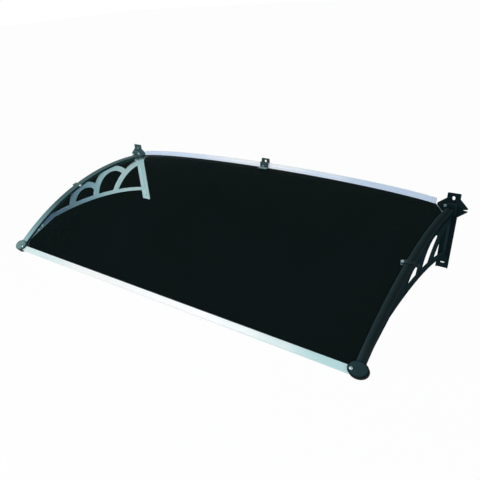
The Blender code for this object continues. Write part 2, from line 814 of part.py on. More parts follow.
def make_clamp(side, word, finish):
    """Strap over the arm, bent out to an ear on the sheet and to a lug outside the rail."""
    half = arm_width / 2.0 + gap
    t = clamp_thickness
    ear = arm_width / 2.0 + ear_reach + clamp_half * 1.2
    rings = []
    for k in range(5):
        y = clamp_y + clamp_half * 1.8 * (0.5 * k - 1.0)
        centre = arm_x(y)
        low = []
        for share in (0.0, 0.3, 0.6, 0.85, 1.0):
            across = lerp(-ear, -half, share)
            low.append((across, sheet_top(centre + across, y) + gap))
        level = arc_z(y)
        low += [(-half, level + gap), (half, level + gap), (half, level - lug_drop), (ear, level - lug_drop)]
        high = [(across, z + t) for across, z in low[:4]]
        high += [(-half - t, low[4][1] + t), (-half - t, level + gap + t), (half + t, level + gap + t),
                 (half + t, level - lug_drop + t), (ear, level - lug_drop + t)]
        high[3] = (lerp(-ear, -half, 0.8), high[3][1])
        ring = low + list(reversed(high))
        rings.append([(side * (centre + across), y, z) for across, z in ring])
    strap = loft(word + "_arm_clamp", rings, finish)
    plan = stadium((0.0, 0.0), clamp_half, arm_width / 2.0 + ear_reach + clamp_half, False, 10)
    base = arm_frame(side * arm_x(clamp_y), clamp_y)

    def at(a, b, face):
        return base @ Vector((a, b, 0.02 * (face * 2.0 - 1.0)))

    combine(strap, sheared_plate(word + "_clamp_plan", plan, [], at, None), "INTERSECT")
    cut(strap, drill(word + "_ear_hole", shank_radius + screw_play, t * 2.0, clamp_screw_frame(side)))
    return strap


def make_pan_screw(name, matrix, radius, height, shank, length, finish):
    """Domed cross-recessed head on local Z, shank below it."""
    profile = [(0.0, -length), (shank * 0.7, -length), (shank, -length + shank * 0.8), (shank, gap),
               (radius, gap), (radius, height * 0.35)]
    for k in range(1, 4):
        angle = math.pi / 2.0 * k / 4.0
        profile.append((radius * math.cos(angle), height * (0.35 + 0.65 * math.sin(angle))))
    profile.append((0.0, height))
    screw = turned(name, profile, matrix, finish, 20)
    reach = radius * 0.5
    for k, (a, b) in enumerate(((reach, drive_width / 2.0), (drive_width / 2.0, reach))):
        slot = boxed(name + "_drive_%d" % k, (-a, -b, height * 0.45), (a, b, height * 1.5), None, matrix)
        cut(screw, slot)
    return smooth(screw, 30.0)


def make_nut(side, word, finish):
    """Hexagon nut under the sheet, on the clamp screw's shank."""
    matrix = clamp_screw_frame(side)
    top = -(clamp_thickness + gap + sheet_thickness + 2.0 * gap)
    low = top - nut_height
    bore = shank_radius + screw_play
    bm = bmesh.new()
    rings = []
    for radius, height in ((nut_radius, top), (nut_radius, low), (bore, low), (bore, top)):
        ring = []
        for k in range(12):
            angle = math.pi / 6.0 * k
            reach = radius
            if radius == nut_radius and k % 2:
                reach = radius * math.cos(math.pi / 6.0)
            point = Vector((reach * math.cos(angle), reach * math.sin(angle), height))
            ring.append(bm.verts.new(matrix @ point))
        rings.append(ring)
    rings.append(rings[0])
    for first, second in zip(rings, rings[1:]):
        for k in range(12):
            j = (k + 1) % 12
            bm.faces.new((first[k], first[j], second[j], second[k]))
    return place(word + "_clamp_nut", bm, finish)


def make_side(side, word, frame_finish, cover_finish, steel):
    make_bracket(side, word, frame_finish)
    make_strip(side, word, cover_finish)
    make_cap(side, word, cover_finish)
    make_clamp(side, word, cover_finish)
    length = clamp_thickness + sheet_thickness + nut_height + 5.0 * gap
    make_pan_screw(word + "_clamp_screw", clamp_screw_frame(side), pan_radius, pan_height,
                   shank_radius, length, steel)
    make_nut(side, word, steel)
    make_pan_screw(word + "_cap_screw", cap_screw_frame(side), pan_radius, pan_height,
                   shank_radius, cap_screw_length, steel)
    nose = frame_at((side * (half_span - nose_screw_x), nose_y, nose_screw_z), (1.0, 0.0, 0.0),
                    (0.0, -1.0, 0.0))
    make_pan_screw(word + "_nose_screw", nose, pan_radius, pan_height, shank_radius,
                   nose_thickness, steel)
    for k, (back, drop) in enumerate(web_screw_places):
        make_pan_screw("%s_web_screw_%d" % (word, k + 1), web_screw_frame(side, back, drop), small_pan_radius,
                       small_pan_height, small_shank_radius, web_thickness * 0.6, steel)


def build():
    for thing in list(bpy.data.objects):
        bpy.data.objects.remove(thing, do_unlink=True)
    smoked = material("smoked_sheet", (0.006, 0.009, 0.009), 0.12, 0.0, 0.8)
    silver = material("silver_moulding", (0.42, 0.52, 0.55), 0.45)
    slate = material("slate_moulding", (0.05, 0.11, 0.11), 0.42)
    charcoal = material("charcoal_moulding", (0.010, 0.020, 0.021), 0.42)
    front_metal = material("front_aluminium", (0.80, 0.86, 0.86), 0.3, 0.9)
    rear_metal = material("rear_aluminium", (0.60, 0.66, 0.78), 0.35, 0.9)
    rubber = material("black_rubber", (0.01, 0.01, 0.01), 0.8)
    steel = material("plated_steel", (0.75, 0.77, 0.78), 0.18, 1.0)
    make_sheet(smoked)
    make_front_bar(front_metal)
    make_front_gasket(rubber)
    make_rear_bar(rear_metal)
    make_rear_gasket(rubber)
    make_clip(slate)
    make_pan_screw("clip_screw", clip_screw_frame(), small_pan_radius, small_pan_height,
                   small_shank_radius, 0.006, steel)
    make_seal(-1.0, "left", rubber)
    make_seal(1.0, "right", rubber)
    make_side(-1.0, "left", silver, slate, steel)
    make_side(1.0, "right", charcoal, charcoal, steel)


build()
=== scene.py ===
import math

import bmesh
import bpy
from mathutils import Matrix, Vector


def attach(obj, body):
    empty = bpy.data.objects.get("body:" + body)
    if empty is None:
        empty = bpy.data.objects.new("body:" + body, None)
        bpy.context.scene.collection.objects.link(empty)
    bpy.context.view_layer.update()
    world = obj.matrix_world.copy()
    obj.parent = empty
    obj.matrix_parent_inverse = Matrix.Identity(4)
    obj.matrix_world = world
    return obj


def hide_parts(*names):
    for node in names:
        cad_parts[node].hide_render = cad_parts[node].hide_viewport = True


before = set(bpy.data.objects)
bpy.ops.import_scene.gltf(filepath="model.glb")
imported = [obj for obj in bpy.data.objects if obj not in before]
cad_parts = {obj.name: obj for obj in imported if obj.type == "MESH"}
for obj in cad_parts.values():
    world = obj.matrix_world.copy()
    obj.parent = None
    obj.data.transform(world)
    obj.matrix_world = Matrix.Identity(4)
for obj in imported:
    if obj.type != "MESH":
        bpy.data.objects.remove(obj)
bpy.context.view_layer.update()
scene = bpy.context.scene

# Metres. X runs to the right, the wall is the plane y = 0, the awning reaches towards -Y, Z is up.
# Every piece is set out from these lines.
awning = {
    "gap": 0.0003,             # play between neighbours
    "postX": 0.600,            # middle of each wall post
    "frontY": -0.6040,         # rear edge of the front bar's lip
    "rearY": -0.0105,          # front face of the rear bar
    "sheetCrown": 0.0350,      # rise of the sheet's rear edge at mid-width
    "crownFullness": 0.62,     # 1 is a parabola, less is fuller towards the ends
    "sheetThickness": 0.003,
    "armApex": (-0.1500, -0.0214),
    "armRadius": 0.865,
    "armWidth": 0.020,
    "armRootX": 0.598,
    "toeIn": 0.031,            # inward travel of the arm for each metre of reach
    "armTipY": -0.5995,
    "stripThickness": 0.0045,
    "noseY": -0.0205,          # front face of the plate at the arm's root
}
gap = awning["gap"]
armHalf = awning["armWidth"] / 2
sheetDepth = awning["stripThickness"] + gap                   # of the sheet's top below the arm's
railDepth = sheetDepth + awning["sheetThickness"] + gap
tiny = 1e-6


# places along the arm and on the sheet

def armX(y):
    return awning["armRootX"] + awning["toeIn"] * y


def arcZ(y, depth=0.0):
    apexY, apexZ = awning["armApex"]
    radius = awning["armRadius"] - depth
    return apexZ - awning["armRadius"] + math.sqrt(radius ** 2 - (y - apexY) ** 2)


def armTilt(y):
    return math.asin((awning["armApex"][0] - y) / awning["armRadius"])


def sheetTop(x, y):
    share = min(abs(x) / (armX(y) - armHalf), 1.0)
    reach = max((y - awning["frontY"]) / (awning["rearY"] - awning["frontY"]), 0.0)
    rise = awning["sheetCrown"] * reach * (1 - share ** 2) ** awning["crownFullness"]
    return arcZ(y, sheetDepth) + rise


def frameAt(origin, xAxis, zAxis):
    zDir = Vector(zAxis).normalized()
    xDir = Vector(xAxis).normalized()
    matrix = Matrix((xDir, zDir.cross(xDir), zDir)).transposed().to_4x4()
    matrix.translation = origin
    return matrix


def armFrame(x, y, depth=0.0):
    # local X across the awning, Y up the slope, Z square to the arm's top
    tilt = armTilt(y)
    return frameAt((x, y, arcZ(y, depth)), (1, 0, 0), (0, -math.sin(tilt), math.cos(tilt)))


def facingOut(place):
    # local Z away from the wall
    return frameAt(place, (1, 0, 0), (0, -1, 0))


def mix(a, b, share):
    return a + (b - a) * share


# flat loops of points
mitreLimit = 0.35                     # keeps sharp corners from running far out when a loop is shifted
nearlyStraight = math.radians(84)     # half angle from which a corner needs no rounding
sideShare = 0.48                      # a rounding takes less than half of a side


def sidesOf(loop):
    return zip(loop, loop[1:] + loop[:1])


def shiftLoop(loop, distance):
    # each side moves to the inside of the loop by distance
    area = sum(a[0] * b[1] - b[0] * a[1] for a, b in sidesOf(loop)) / 2
    turn = 1.0 if area > 0 else -1.0
    shifted = []
    for i, point in enumerate(loop):
        before = (Vector(point) - Vector(loop[i - 1])).normalized()
        after = (Vector(loop[(i + 1) % len(loop)]) - Vector(point)).normalized()
        first = Vector((-before.y, before.x)) * turn
        second = Vector((-after.y, after.x)) * turn
        push = (first + second) * distance / max(1 + first.dot(second), mitreLimit)
        shifted.append(tuple(Vector(point) + push))
    return shifted


def roundCorners(loop, radii, steps):
    # radii is one radius, or one for each corner
    rounded = []
    for i, point in enumerate(loop):
        radius = radii[i] if isinstance(radii, (list, tuple)) else radii
        corner = Vector(point)
        toLast = Vector(loop[i - 1]) - corner
        toNext = Vector(loop[(i + 1) % len(loop)]) - corner
        half = toLast.angle(toNext) / 2
        if radius <= 0 or half > nearlyStraight:
            rounded.append(tuple(corner))
            continue
        cutBack = min(radius / math.tan(half), toLast.length * sideShare, toNext.length * sideShare)
        radius = cutBack * math.tan(half)
        centre = corner + (toLast.normalized() + toNext.normalized()).normalized() * radius / math.sin(half)
        start = corner + toLast.normalized() * cutBack - centre
        end = corner + toNext.normalized() * cutBack - centre
        first = math.atan2(start.y, start.x)
        turn = (math.atan2(end.y, end.x) - first + math.pi) % (2 * math.pi) - math.pi
        for k in range(steps + 1):
            angle = first + turn * k / steps
            rounded.append((centre.x + radius * math.cos(angle), centre.y + radius * math.sin(angle)))
    return rounded


def rectangle(left, right, low, high):
    return [(left, low), (right, low), (right, high), (left, high)]


def stadium(centre, halfWidth, halfLength, upright, steps=10):
    points = []
    for end in (1, -1):
        for k in range(steps + 1):
            angle = math.pi * k / steps
            across = halfWidth * math.cos(angle) * end
            along = (halfLength - halfWidth + halfWidth * math.sin(angle)) * end
            pair = (across, along) if upright else (-along, across)
            points.append((centre[0] + pair[0], centre[1] + pair[1]))
    return points


# meshes; edgeMask marks edges for painted highlight and wear, shadeMask where shade is painted, and on
# the clip where light is painted; all angles of pieces are in degrees
maskNames = ("edgeMask", "shadeMask")
rimSteps = 3


def newShape():
    bm = bmesh.new()
    for name in maskNames:
        bm.verts.layers.float.new(name)
    return bm


def paint(bm, maskName, share, start=0):
    # sets a mask by a function of place, on every vertex from start on
    mask = bm.verts.layers.float[maskName]
    bm.verts.ensure_lookup_table()
    for vert in bm.verts[start:]:
        vert[mask] = share(vert.co)


def bridge(bm, rows):
    for first, second in zip(rows, rows[1:]):
        for i in range(len(first)):
            j = (i + 1) % len(first)
            bm.faces.new((first[i], first[j], second[j], second[i]))


def fillLoops(bm, loops):
    if len(loops) == 1:
        bm.faces.new(loops[0])
        return
    edges = [bm.edges.get(pair) or bm.edges.new(pair) for loop in loops for pair in sidesOf(loop)]
    bmesh.ops.triangle_fill(bm, use_beauty=True, edges=edges)


def addPlate(bm, loops, at, low, high, edge):
    # a solid between two copies of an outline and its holes, with rounded rims; at() puts a point in place
    mask = bm.verts.layers.float["edgeMask"]
    levels = []
    # the rims are marked in edgeMask for painted highlight and wear
    for k in range(rimSteps + 1):
        angle = math.pi / 2 * k / rimSteps
        levels.append((edge * (1 - math.sin(angle)), low + edge * (1 - math.cos(angle)), float(k > 0)))
    levels += [(inset, low + high - depth, edgeWearAndHighlight) for inset, depth, edgeWearAndHighlight in reversed(levels)]
    ends = [[], []]
    for number, loop in enumerate(loops):
        side = 1.0 if number == 0 else -1.0
        rows = []
        for inset, depth, edgeWearAndHighlight in levels:
            row = [bm.verts.new(at(a, b, depth)) for a, b in shiftLoop(loop, side * inset)]
            for vert in row:
                vert[mask] = edgeWearAndHighlight
            rows.append(row)
        bridge(bm, rows)
        ends[0].append(rows[0])
        ends[1].append(rows[-1])
    for loopsAtEnd in ends:
        fillLoops(bm, loopsAtEnd)


def addSweep(bm, rows, hollows=()):
    # a solid through rows of points, with hollows running its whole length
    first, last = [], []
    for tube in (rows, *hollows):
        made = [[bm.verts.new(point) for point in row] for row in tube]
        bridge(bm, made)
        first.append(made[0])
        last.append(made[-1])
    fillLoops(bm, first)
    fillLoops(bm, last)


def addTurned(bm, profile, matrix, segments, stretch=1.0):
    # a solid turned round local Z from (radius, height) points
    rings = []
    for radius, height in profile:
        ring = []
        for k in range(segments if radius > tiny else 1):
            angle = 2 * math.pi * k / segments
            place = Vector((radius * math.cos(angle), radius * stretch * math.sin(angle), height))
            ring.append(bm.verts.new(matrix @ place))
        rings.append(ring)
    for first, second in zip(rings, rings[1:]):
        for k in range(segments):
            j = (k + 1) % segments
            corners = [ring[n % len(ring)] for ring, n in ((first, k), (first, j), (second, j), (second, k))]
            unique = list(dict.fromkeys(corners))
            if len(unique) > 2:
                bm.faces.new(unique)


def softenEdges(bm, width, angle):
    # rounds the sharp edges and marks the rounding for painted highlight and wear
    bmesh.ops.recalc_face_normals(bm, faces=bm.faces)
    mask = bm.verts.layers.float["edgeMask"]
    sharp = [e for e in bm.edges if len(e.link_faces) == 2 and e.calc_face_angle(0.0) > math.radians(angle)]
    result = bmesh.ops.bevel(bm, geom=sharp, offset=width, offset_type="OFFSET", segments=2, profile=0.5,
                             affect="EDGES", clamp_overlap=True, loop_slide=False)
    for vert in result["verts"]:
        vert[mask] = 1.0


def newObject(name, data):
    thing = bpy.data.objects.new(name, data)
    scene.collection.objects.link(thing)
    return thing


def newPiece(name, bm):
    bmesh.ops.recalc_face_normals(bm, faces=bm.faces)
    mesh = bpy.data.meshes.new(name)
    bm.to_mesh(mesh)
    bm.free()
    return newObject(name, mesh)


def carve(piece, cutterShape, operation="DIFFERENCE"):
    cutter = newPiece("cutter", cutterShape)
    step = piece.modifiers.new("carve", "BOOLEAN")
    step.operation, step.solver, step.object = operation, "EXACT", cutter
    graph = bpy.context.evaluated_depsgraph_get()
    mesh = bpy.data.meshes.new_from_object(piece.evaluated_get(graph))
    piece.modifiers.clear()
    piece.data = mesh
    bpy.data.objects.remove(cutter)


def reopen(piece):
    bm = bmesh.new()
    bm.from_mesh(piece.data)
    for name in maskNames:
        if name not in bm.verts.layers.float:
            bm.verts.layers.float.new(name)
    bmesh.ops.remove_doubles(bm, verts=bm.verts, dist=tiny)
    bmesh.ops.dissolve_degenerate(bm, dist=tiny, edges=bm.edges)
    return bm


def closeAgain(piece, bm, cut):
    # joins the faces that lie flat, rounds the edges and gives the shape back to its piece
    flat = math.radians(cut["flatBelow"])
    bmesh.ops.dissolve_limit(bm, angle_limit=flat, verts=bm.verts, edges=bm.edges)
    softenEdges(bm, cut["edge"], cut["bevelFrom"])
    bmesh.ops.recalc_face_normals(bm, faces=bm.faces)
    bm.to_mesh(piece.data)
    bm.free()


def finishPiece(piece, material, node, sharpAngle):
    mesh = piece.data
    mesh.materials.clear()
    mesh.materials.append(material)
    mesh.shade_smooth()
    mesh.set_sharp_from_angle(angle=math.radians(sharpAngle))
    weights = piece.modifiers.new("cleanShading", "WEIGHTED_NORMAL")
    weights.keep_sharp = True
    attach(piece, "root")
    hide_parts(node)


# shader helpers

def srgb(red, green, blue):
    linear = []
    for value in (red, green, blue):
        value /= 255
        linear.append(value / 12.92 if value <= 0.04045 else ((value + 0.055) / 1.055) ** 2.4)
    return (*linear, 1.0)


def grey(value):
    return (value, value, value, 1.0)


def addNode(tree, kind, inputs=None, **settings):
    node = tree.nodes.new(kind)
    for key, value in settings.items():
        setattr(node, key, value)
    for key, value in (inputs or {}).items():
        if isinstance(value, bpy.types.NodeSocket):
            tree.links.new(value, node.inputs[key])
        else:
            node.inputs[key].default_value = value
    return node


def calc(tree, operation, first, second=0.0, third=0.0, clamp=False):
    return addNode(tree, "ShaderNodeMath", {0: first, 1: second, 2: third},
                   operation=operation, use_clamp=clamp).outputs[0]


def mixColour(tree, share, first, second):
    return addNode(tree, "ShaderNodeMix", {0: share, 6: first, 7: second}, data_type="RGBA").outputs[2]


def fade(tree, value, start, end, curve="LINEAR"):
    # 0 at start, 1 at end
    return addNode(tree, "ShaderNodeMapRange", {"Value": value, "From Min": start, "From Max": end},
                   interpolation_type=curve).outputs[0]


def ramp(tree, value, stops):
    node = addNode(tree, "ShaderNodeValToRGB", {"Fac": value})
    marks = node.color_ramp.elements
    while len(marks) < len(stops):
        marks.new(0.5)
    for mark, (position, colour) in zip(marks, stops):
        mark.position, mark.color = position, colour
    return node.outputs["Color"]


def objectPlace(tree):
    return addNode(tree, "ShaderNodeTexCoord").outputs["Object"]


def axes(tree, vector):
    return addNode(tree, "ShaderNodeSeparateXYZ", {"Vector": vector}).outputs


def stretched(tree, vector, scale):
    return addNode(tree, "ShaderNodeMapping", {"Vector": vector, "Scale": scale}).outputs[0]


def noise(tree, vector, scale, detail, roughness=0.5, distortion=0.0):
    return addNode(tree, "ShaderNodeTexNoise", {
        "Vector": vector, "Scale": scale, "Detail": detail, "Roughness": roughness,
        "Distortion": distortion}).outputs["Fac"]


def maskOf(tree, name):
    return addNode(tree, "ShaderNodeAttribute", attribute_name=name).outputs["Fac"]


def newGroup(name, inputs):
    group = bpy.data.node_groups.new(name, "ShaderNodeTree")
    for label, value in inputs.items():
        kind = "NodeSocketColor" if isinstance(value, tuple) else "NodeSocketFloat"
        socket = group.interface.new_socket(name=label, in_out="INPUT", socket_type=kind)
        socket.default_value = value
    return group, addNode(group, "NodeGroupInput").outputs


def closeGroup(group, results):
    for label in results:
        kind = "NodeSocketColor" if label == "Colour" else "NodeSocketFloat"
        group.interface.new_socket(name=label, in_out="OUTPUT", socket_type=kind)
    addNode(group, "NodeGroupOutput", results)
    return group


def useGroup(tree, group, inputs=None):
    return addNode(tree, "ShaderNodeGroup", inputs, node_tree=group)


def newMaterial(name):
    material = bpy.data.materials.new(name)
    material.use_nodes = True
    tree = material.node_tree
    tree.nodes.clear()
    return material, tree


def surface(tree, shader, kind="ShaderNodeOutputMaterial"):
    addNode(tree, kind, {"Surface": shader})


def layered(tree, shaders, shares):
    # each shader covers the ones before it by its share
    top = shaders[0]
    for share, shader in zip(shares, shaders[1:]):
        top = addNode(tree, "ShaderNodeMixShader", {0: share, 1: top, 2: shader}).outputs[0]
    return top


def principled(tree, colour, roughness, height, relief, specular, metallic=0.0):
    bump = addNode(tree, "ShaderNodeBump", {"Height": height, "Distance": relief, "Strength": 1.0})
    return addNode(tree, "ShaderNodeBsdfPrincipled", {
        "Base Color": colour, "Roughness": roughness, "Metallic": metallic, "Specular IOR Level": specular,
        "Normal": bump.outputs["Normal"]}).outputs[0]


def coated(tree, cover, relief, specular, metallic=0.0):
    # a surface as one of the effects gives it
    parts = [cover.outputs[name] for name in ("Colour", "Roughness", "Height")]
    surface(tree, principled(tree, *parts, relief, specular, metallic))


# effects shared by several materials; a noise is (scale, detail, roughness, distortion), the last two where
# they differ from the usual, and the fine grain's scale follows from its size
grainWeave = {"fineDetail": 3.0, "fineRoughness": 0.6, "broad": (26.0, 5.0, 0.55), "broadRange": (0.3, 0.7),
              "flow": (7.0, 2.0, 0.5, 0.6), "wearHighlightFloor": 0.35, "roughSwing": 0.10, "wornPolish": 0.18,
              "broadHeight": 0.3}
dieDrawing = {"stretch": (1.2, 1100.0, 1100.0), "lines": (1.0, 4.0, 0.7), "cloud": (9.0, 3.0),
              "cloudSwing": 0.24, "roughSwing": 0.12}


def grainWearAndPaintedLight():
    # fine grain over broad mottle; marked edges get painted highlight and wear, lighter and smoother, and
    # the
    # Shade Colour is painted where shadeMask is set
    group, entry = newGroup("grainWearAndPaintedLight", {
        "Colour": grey(0.1), "Light Colour": grey(0.2), "Grain Size": 0.0006, "Mottle": 0.3,
        "Edge Light": 0.4, "Shade Colour": grey(0.01), "Roughness": 0.45})
    place = objectPlace(group)
    fine = noise(group, place, calc(group, "DIVIDE", 1.0, entry["Grain Size"]), grainWeave["fineDetail"],
                 grainWeave["fineRoughness"])
    broad = noise(group, place, *grainWeave["broad"])
    flow = noise(group, place, *grainWeave["flow"])
    broadShare = calc(group, "MULTIPLY", fade(group, broad, *grainWeave["broadRange"]), entry["Mottle"])
    flowShare = calc(group, "MULTIPLY", flow, entry["Mottle"])
    mottle = calc(group, "MULTIPLY", calc(group, "ADD", broadShare, flowShare), 0.5)
    edgeWearAndHighlight = calc(group, "MULTIPLY", maskOf(group, "edgeMask"), entry["Edge Light"])
    wearHighlightShare = calc(group, "MULTIPLY", edgeWearAndHighlight, calc(group, "ADD", fine, grainWeave["wearHighlightFloor"]), clamp=True)
    light = calc(group, "ADD", mottle, wearHighlightShare, clamp=True)
    colour = mixColour(group, light, entry["Colour"], entry["Light Colour"])
    colour = mixColour(group, maskOf(group, "shadeMask"), colour, entry["Shade Colour"])
    even = calc(group, "ADD", entry["Roughness"], -grainWeave["roughSwing"] / 2)
    roughness = calc(group, "MULTIPLY_ADD", fine, grainWeave["roughSwing"], even)
    roughness = calc(group, "MULTIPLY_ADD", wearHighlightShare, -grainWeave["wornPolish"], roughness)
    height = calc(group, "MULTIPLY_ADD", broad, grainWeave["broadHeight"], fine)
    return closeGroup(group, {"Colour": colour, "Roughness": roughness, "Height": height})


def extrusionLines():
    # drawn lines along X, on painted light and shade that changes from the middle towards either end, and
    # painted shade where shadeMask is set
    group, entry = newGroup("extrusionLines", {
        "Middle Colour": grey(0.9), "Left Colour": grey(0.8), "Right Colour": grey(0.8),
        "Shade Colour": grey(0.5), "Lines": 0.2, "Fade From": 0.12, "Fade To": 0.56, "Roughness": 0.35})
    place = objectPlace(group)
    lines = noise(group, stretched(group, place, dieDrawing["stretch"]), *dieDrawing["lines"])
    cloud = noise(group, place, *dieDrawing["cloud"])
    x = axes(group, place)["X"]
    even = calc(group, "ADD", calc(group, "ABSOLUTE", x), -dieDrawing["cloudSwing"] / 2)
    reach = calc(group, "MULTIPLY_ADD", cloud, dieDrawing["cloudSwing"], even)
    toEnd = fade(group, reach, entry["Fade From"], entry["Fade To"], "SMOOTHSTEP")
    rightHalf = calc(group, "GREATER_THAN", x, 0.0)
    ends = mixColour(group, rightHalf, entry["Left Colour"], entry["Right Colour"])
    ground = mixColour(group, toEnd, entry["Middle Colour"], ends)
    ground = mixColour(group, maskOf(group, "shadeMask"), ground, entry["Shade Colour"])
    lineShare = calc(group, "MULTIPLY", lines, entry["Lines"], clamp=True)
    return closeGroup(group, {
        "Colour": mixColour(group, lineShare, ground, entry["Shade Colour"]),
        "Roughness": calc(group, "MULTIPLY_ADD", lines, dieDrawing["roughSwing"], entry["Roughness"]),
        "Height": lines})


def placeOnArm():
    # Along is 0 at the arm's front end and 1 at the wall, Across 0 at its inner edge, Depth is below its top
    group = newGroup("placeOnArm", {})[0]
    spot = axes(group, objectPlace(group))
    centre = calc(group, "MULTIPLY_ADD", spot["Y"], awning["toeIn"], awning["armRootX"])
    fromCentre = calc(group, "SUBTRACT", calc(group, "ABSOLUTE", spot["X"]), centre)
    sideways = addNode(group, "ShaderNodeCombineXYZ", {"X": 0.0, "Y": spot["Y"], "Z": spot["Z"]})
    apexY, apexZ = awning["armApex"]
    toCentre = addNode(group, "ShaderNodeVectorMath", {
        0: sideways.outputs[0], 1: (0.0, apexY, apexZ - awning["armRadius"])}, operation="DISTANCE")
    return closeGroup(group, {
        "Along": fade(group, spot["Y"], awning["armTipY"], 0.0),
        "Across": calc(group, "MULTIPLY_ADD", fromCentre, 1 / awning["armWidth"], 0.5, clamp=True),
        "Depth": calc(group, "SUBTRACT", awning["armRadius"], toCentre.outputs["Value"])})


grain, dieLines, armPlace = grainWearAndPaintedLight(), extrusionLines(), placeOnArm()
print("effects ready")


# materials; a moulding's grain is the same on every piece, the clip's shade colour is painted light on its
# tongue, and the left side's mouldings are painted lighter than the right side's, as painted light
commonGrain = {"Grain Size": 0.0005, "Mottle": 0.45, "Edge Light": 0.5}
grainHeight = 0.00003
mouldings = {
    "charcoalCap": {"dark": (26, 44, 48), "light": (54, 76, 80), "shade": (4, 8, 9),
                    "roughness": 0.44, "specular": 0.01},
    "charcoalBracket": {"dark": (13, 27, 30), "light": (32, 48, 52), "shade": (11, 22, 25),
                        "roughness": 0.45, "specular": 0.0},
    "slateCap": {"dark": (96, 130, 131), "light": (136, 166, 168), "shade": (30, 46, 50),
                 "roughness": 0.44, "specular": 0.06},
    "slateClip": {"dark": (20, 36, 39), "light": (62, 86, 90), "shade": (120, 146, 150),
                  "roughness": 0.40, "specular": 0.04},
}
# painted light and shade; along runs from the front, where the slate arm is painted lighter, across from the
# inner edge and only lightens or darkens, as painted highlight and shade
armMouldings = {
    "slateArm": {"along": [(0.0, (148, 184, 188)), (0.10, (114, 150, 156)), (0.28, (60, 90, 92)),
                           (1.0, (66, 92, 93))],
                 "across": [(0.0, 0.95), (0.15, 1.15), (0.45, 0.95), (0.80, 0.95), (1.0, 1.1)],
                 "lift": 0.12, "roughness": 0.42, "specular": 0.01},
    "charcoalArm": {"along": [(0.0, (38, 54, 58)), (0.10, (32, 47, 50)), (1.0, (30, 45, 48))],
                    "across": [(0.0, 1.4), (0.10, 1.05), (0.35, 0.72), (0.60, 0.44), (0.90, 0.40),
                               (1.0, 0.6)],
                    "lift": 0.02, "roughness": 0.42, "specular": 0.0},
}
glint = (190, 212, 216)               # what the arms' painted edge highlights and wear, and their mottle, lighten towards


def moulding(name):
    look = mouldings[name]
    material, tree = newMaterial(name)
    cover = useGroup(tree, grain, {
        **commonGrain, "Colour": srgb(*look["dark"]), "Light Colour": srgb(*look["light"]),
        "Shade Colour": srgb(*look["shade"]), "Roughness": look["roughness"]})
    coated(tree, cover, grainHeight, look["specular"])
    return material


def armMoulding(name):
    look = armMouldings[name]
    material, tree = newMaterial(name)
    spot = useGroup(tree, armPlace).outputs
    along = ramp(tree, spot["Along"], [(at, srgb(*colour)) for at, colour in look["along"]])
    # a ramp holds values up to 1, so the levels are halved in it and doubled after it
    halved = ramp(tree, spot["Across"], [(at, grey(level / 2)) for at, level in look["across"]])
    tone = addNode(tree, "ShaderNodeVectorMath", {0: along, 3: calc(tree, "MULTIPLY", 2.0, halved)},
                   operation="SCALE").outputs[0]
    light = mixColour(tree, look["lift"], tone, srgb(*glint))
    cover = useGroup(tree, grain, {**commonGrain, "Colour": tone, "Light Colour": light,
                                   "Roughness": look["roughness"]})
    coated(tree, cover, grainHeight, look["specular"])
    return material


# painted light: the web and post are painted pale, far lighter than the right side's bracket, darkest and
# bluest near the front; shade is painted shade on the rail and the skirt
litWebLook = {"web": [(0.0, (124, 150, 156)), (0.22, (73, 114, 144)), (0.36, (96, 136, 156)),
                  (0.50, (146, 186, 204)), (0.65, (200, 236, 244)), (0.85, (232, 255, 255)),
                  (1.0, (226, 253, 255))],
          "lift": 0.20, "webGrain": {"Mottle": 0.6, "Edge Light": 0.9},
          "head": (52, 80, 82), "headLight": (98, 126, 130),
          "headGrain": {"Mottle": 0.5, "Edge Light": 0.6},
          "shade": (14, 46, 52), "roughness": 0.42, "specular": 0.01,
          "headFront": (-0.040, -0.024), "headFoot": (-0.055, -0.046), "railDepth": (0.0122, 0.0114)}


def litWebBracket():
    # web and post painted pale, as painted light; tab, lug and arm root are slate, and the rail along the
    # arm is painted in shade
    material, tree = newMaterial("litWebBracket")
    spot = useGroup(tree, armPlace).outputs
    shade = srgb(*litWebLook["shade"])
    common = {**commonGrain, "Shade Colour": shade, "Roughness": litWebLook["roughness"]}
    tone = ramp(tree, spot["Along"], [(at, srgb(*colour)) for at, colour in litWebLook["web"]])
    pale = useGroup(tree, grain, {**common, **litWebLook["webGrain"], "Colour": tone,
                                  "Light Colour": mixColour(tree, litWebLook["lift"], tone, grey(1.0))}).outputs
    dark = useGroup(tree, grain, {**common, **litWebLook["headGrain"], "Colour": srgb(*litWebLook["head"]),
                                  "Light Colour": srgb(*litWebLook["headLight"])}).outputs
    place = axes(tree, objectPlace(tree))
    head = calc(tree, "MULTIPLY", fade(tree, place["Y"], *litWebLook["headFront"]),
                fade(tree, place["Z"], *litWebLook["headFoot"]))
    rail = calc(tree, "MULTIPLY", fade(tree, spot["Depth"], *litWebLook["railDepth"]),
                calc(tree, "SUBTRACT", 1.0, head))
    colour = mixColour(tree, head, pale["Colour"], dark["Colour"])
    colour = mixColour(tree, rail, colour, shade)
    surface(tree, principled(tree, colour, pale["Roughness"], pale["Height"], grainHeight,
                             litWebLook["specular"]))
    return material


sheetCut = {"rearCornerHalf": 0.5595, "frontCornerHalf": 0.5630, "rearNotchY": -0.0520,
            "frontNotchY": -0.5990, "lip": 0.0032, "frontSlot": 0.0090, "rearSlot": 0.0045, "edge": 0.0004,
            "bevelFrom": 60, "sharp": 50, "columns": 44, "rows": 44,
            "outerShares": (0.2, 0.4, 0.6, 0.75, 0.88, 0.96, 1.0)}
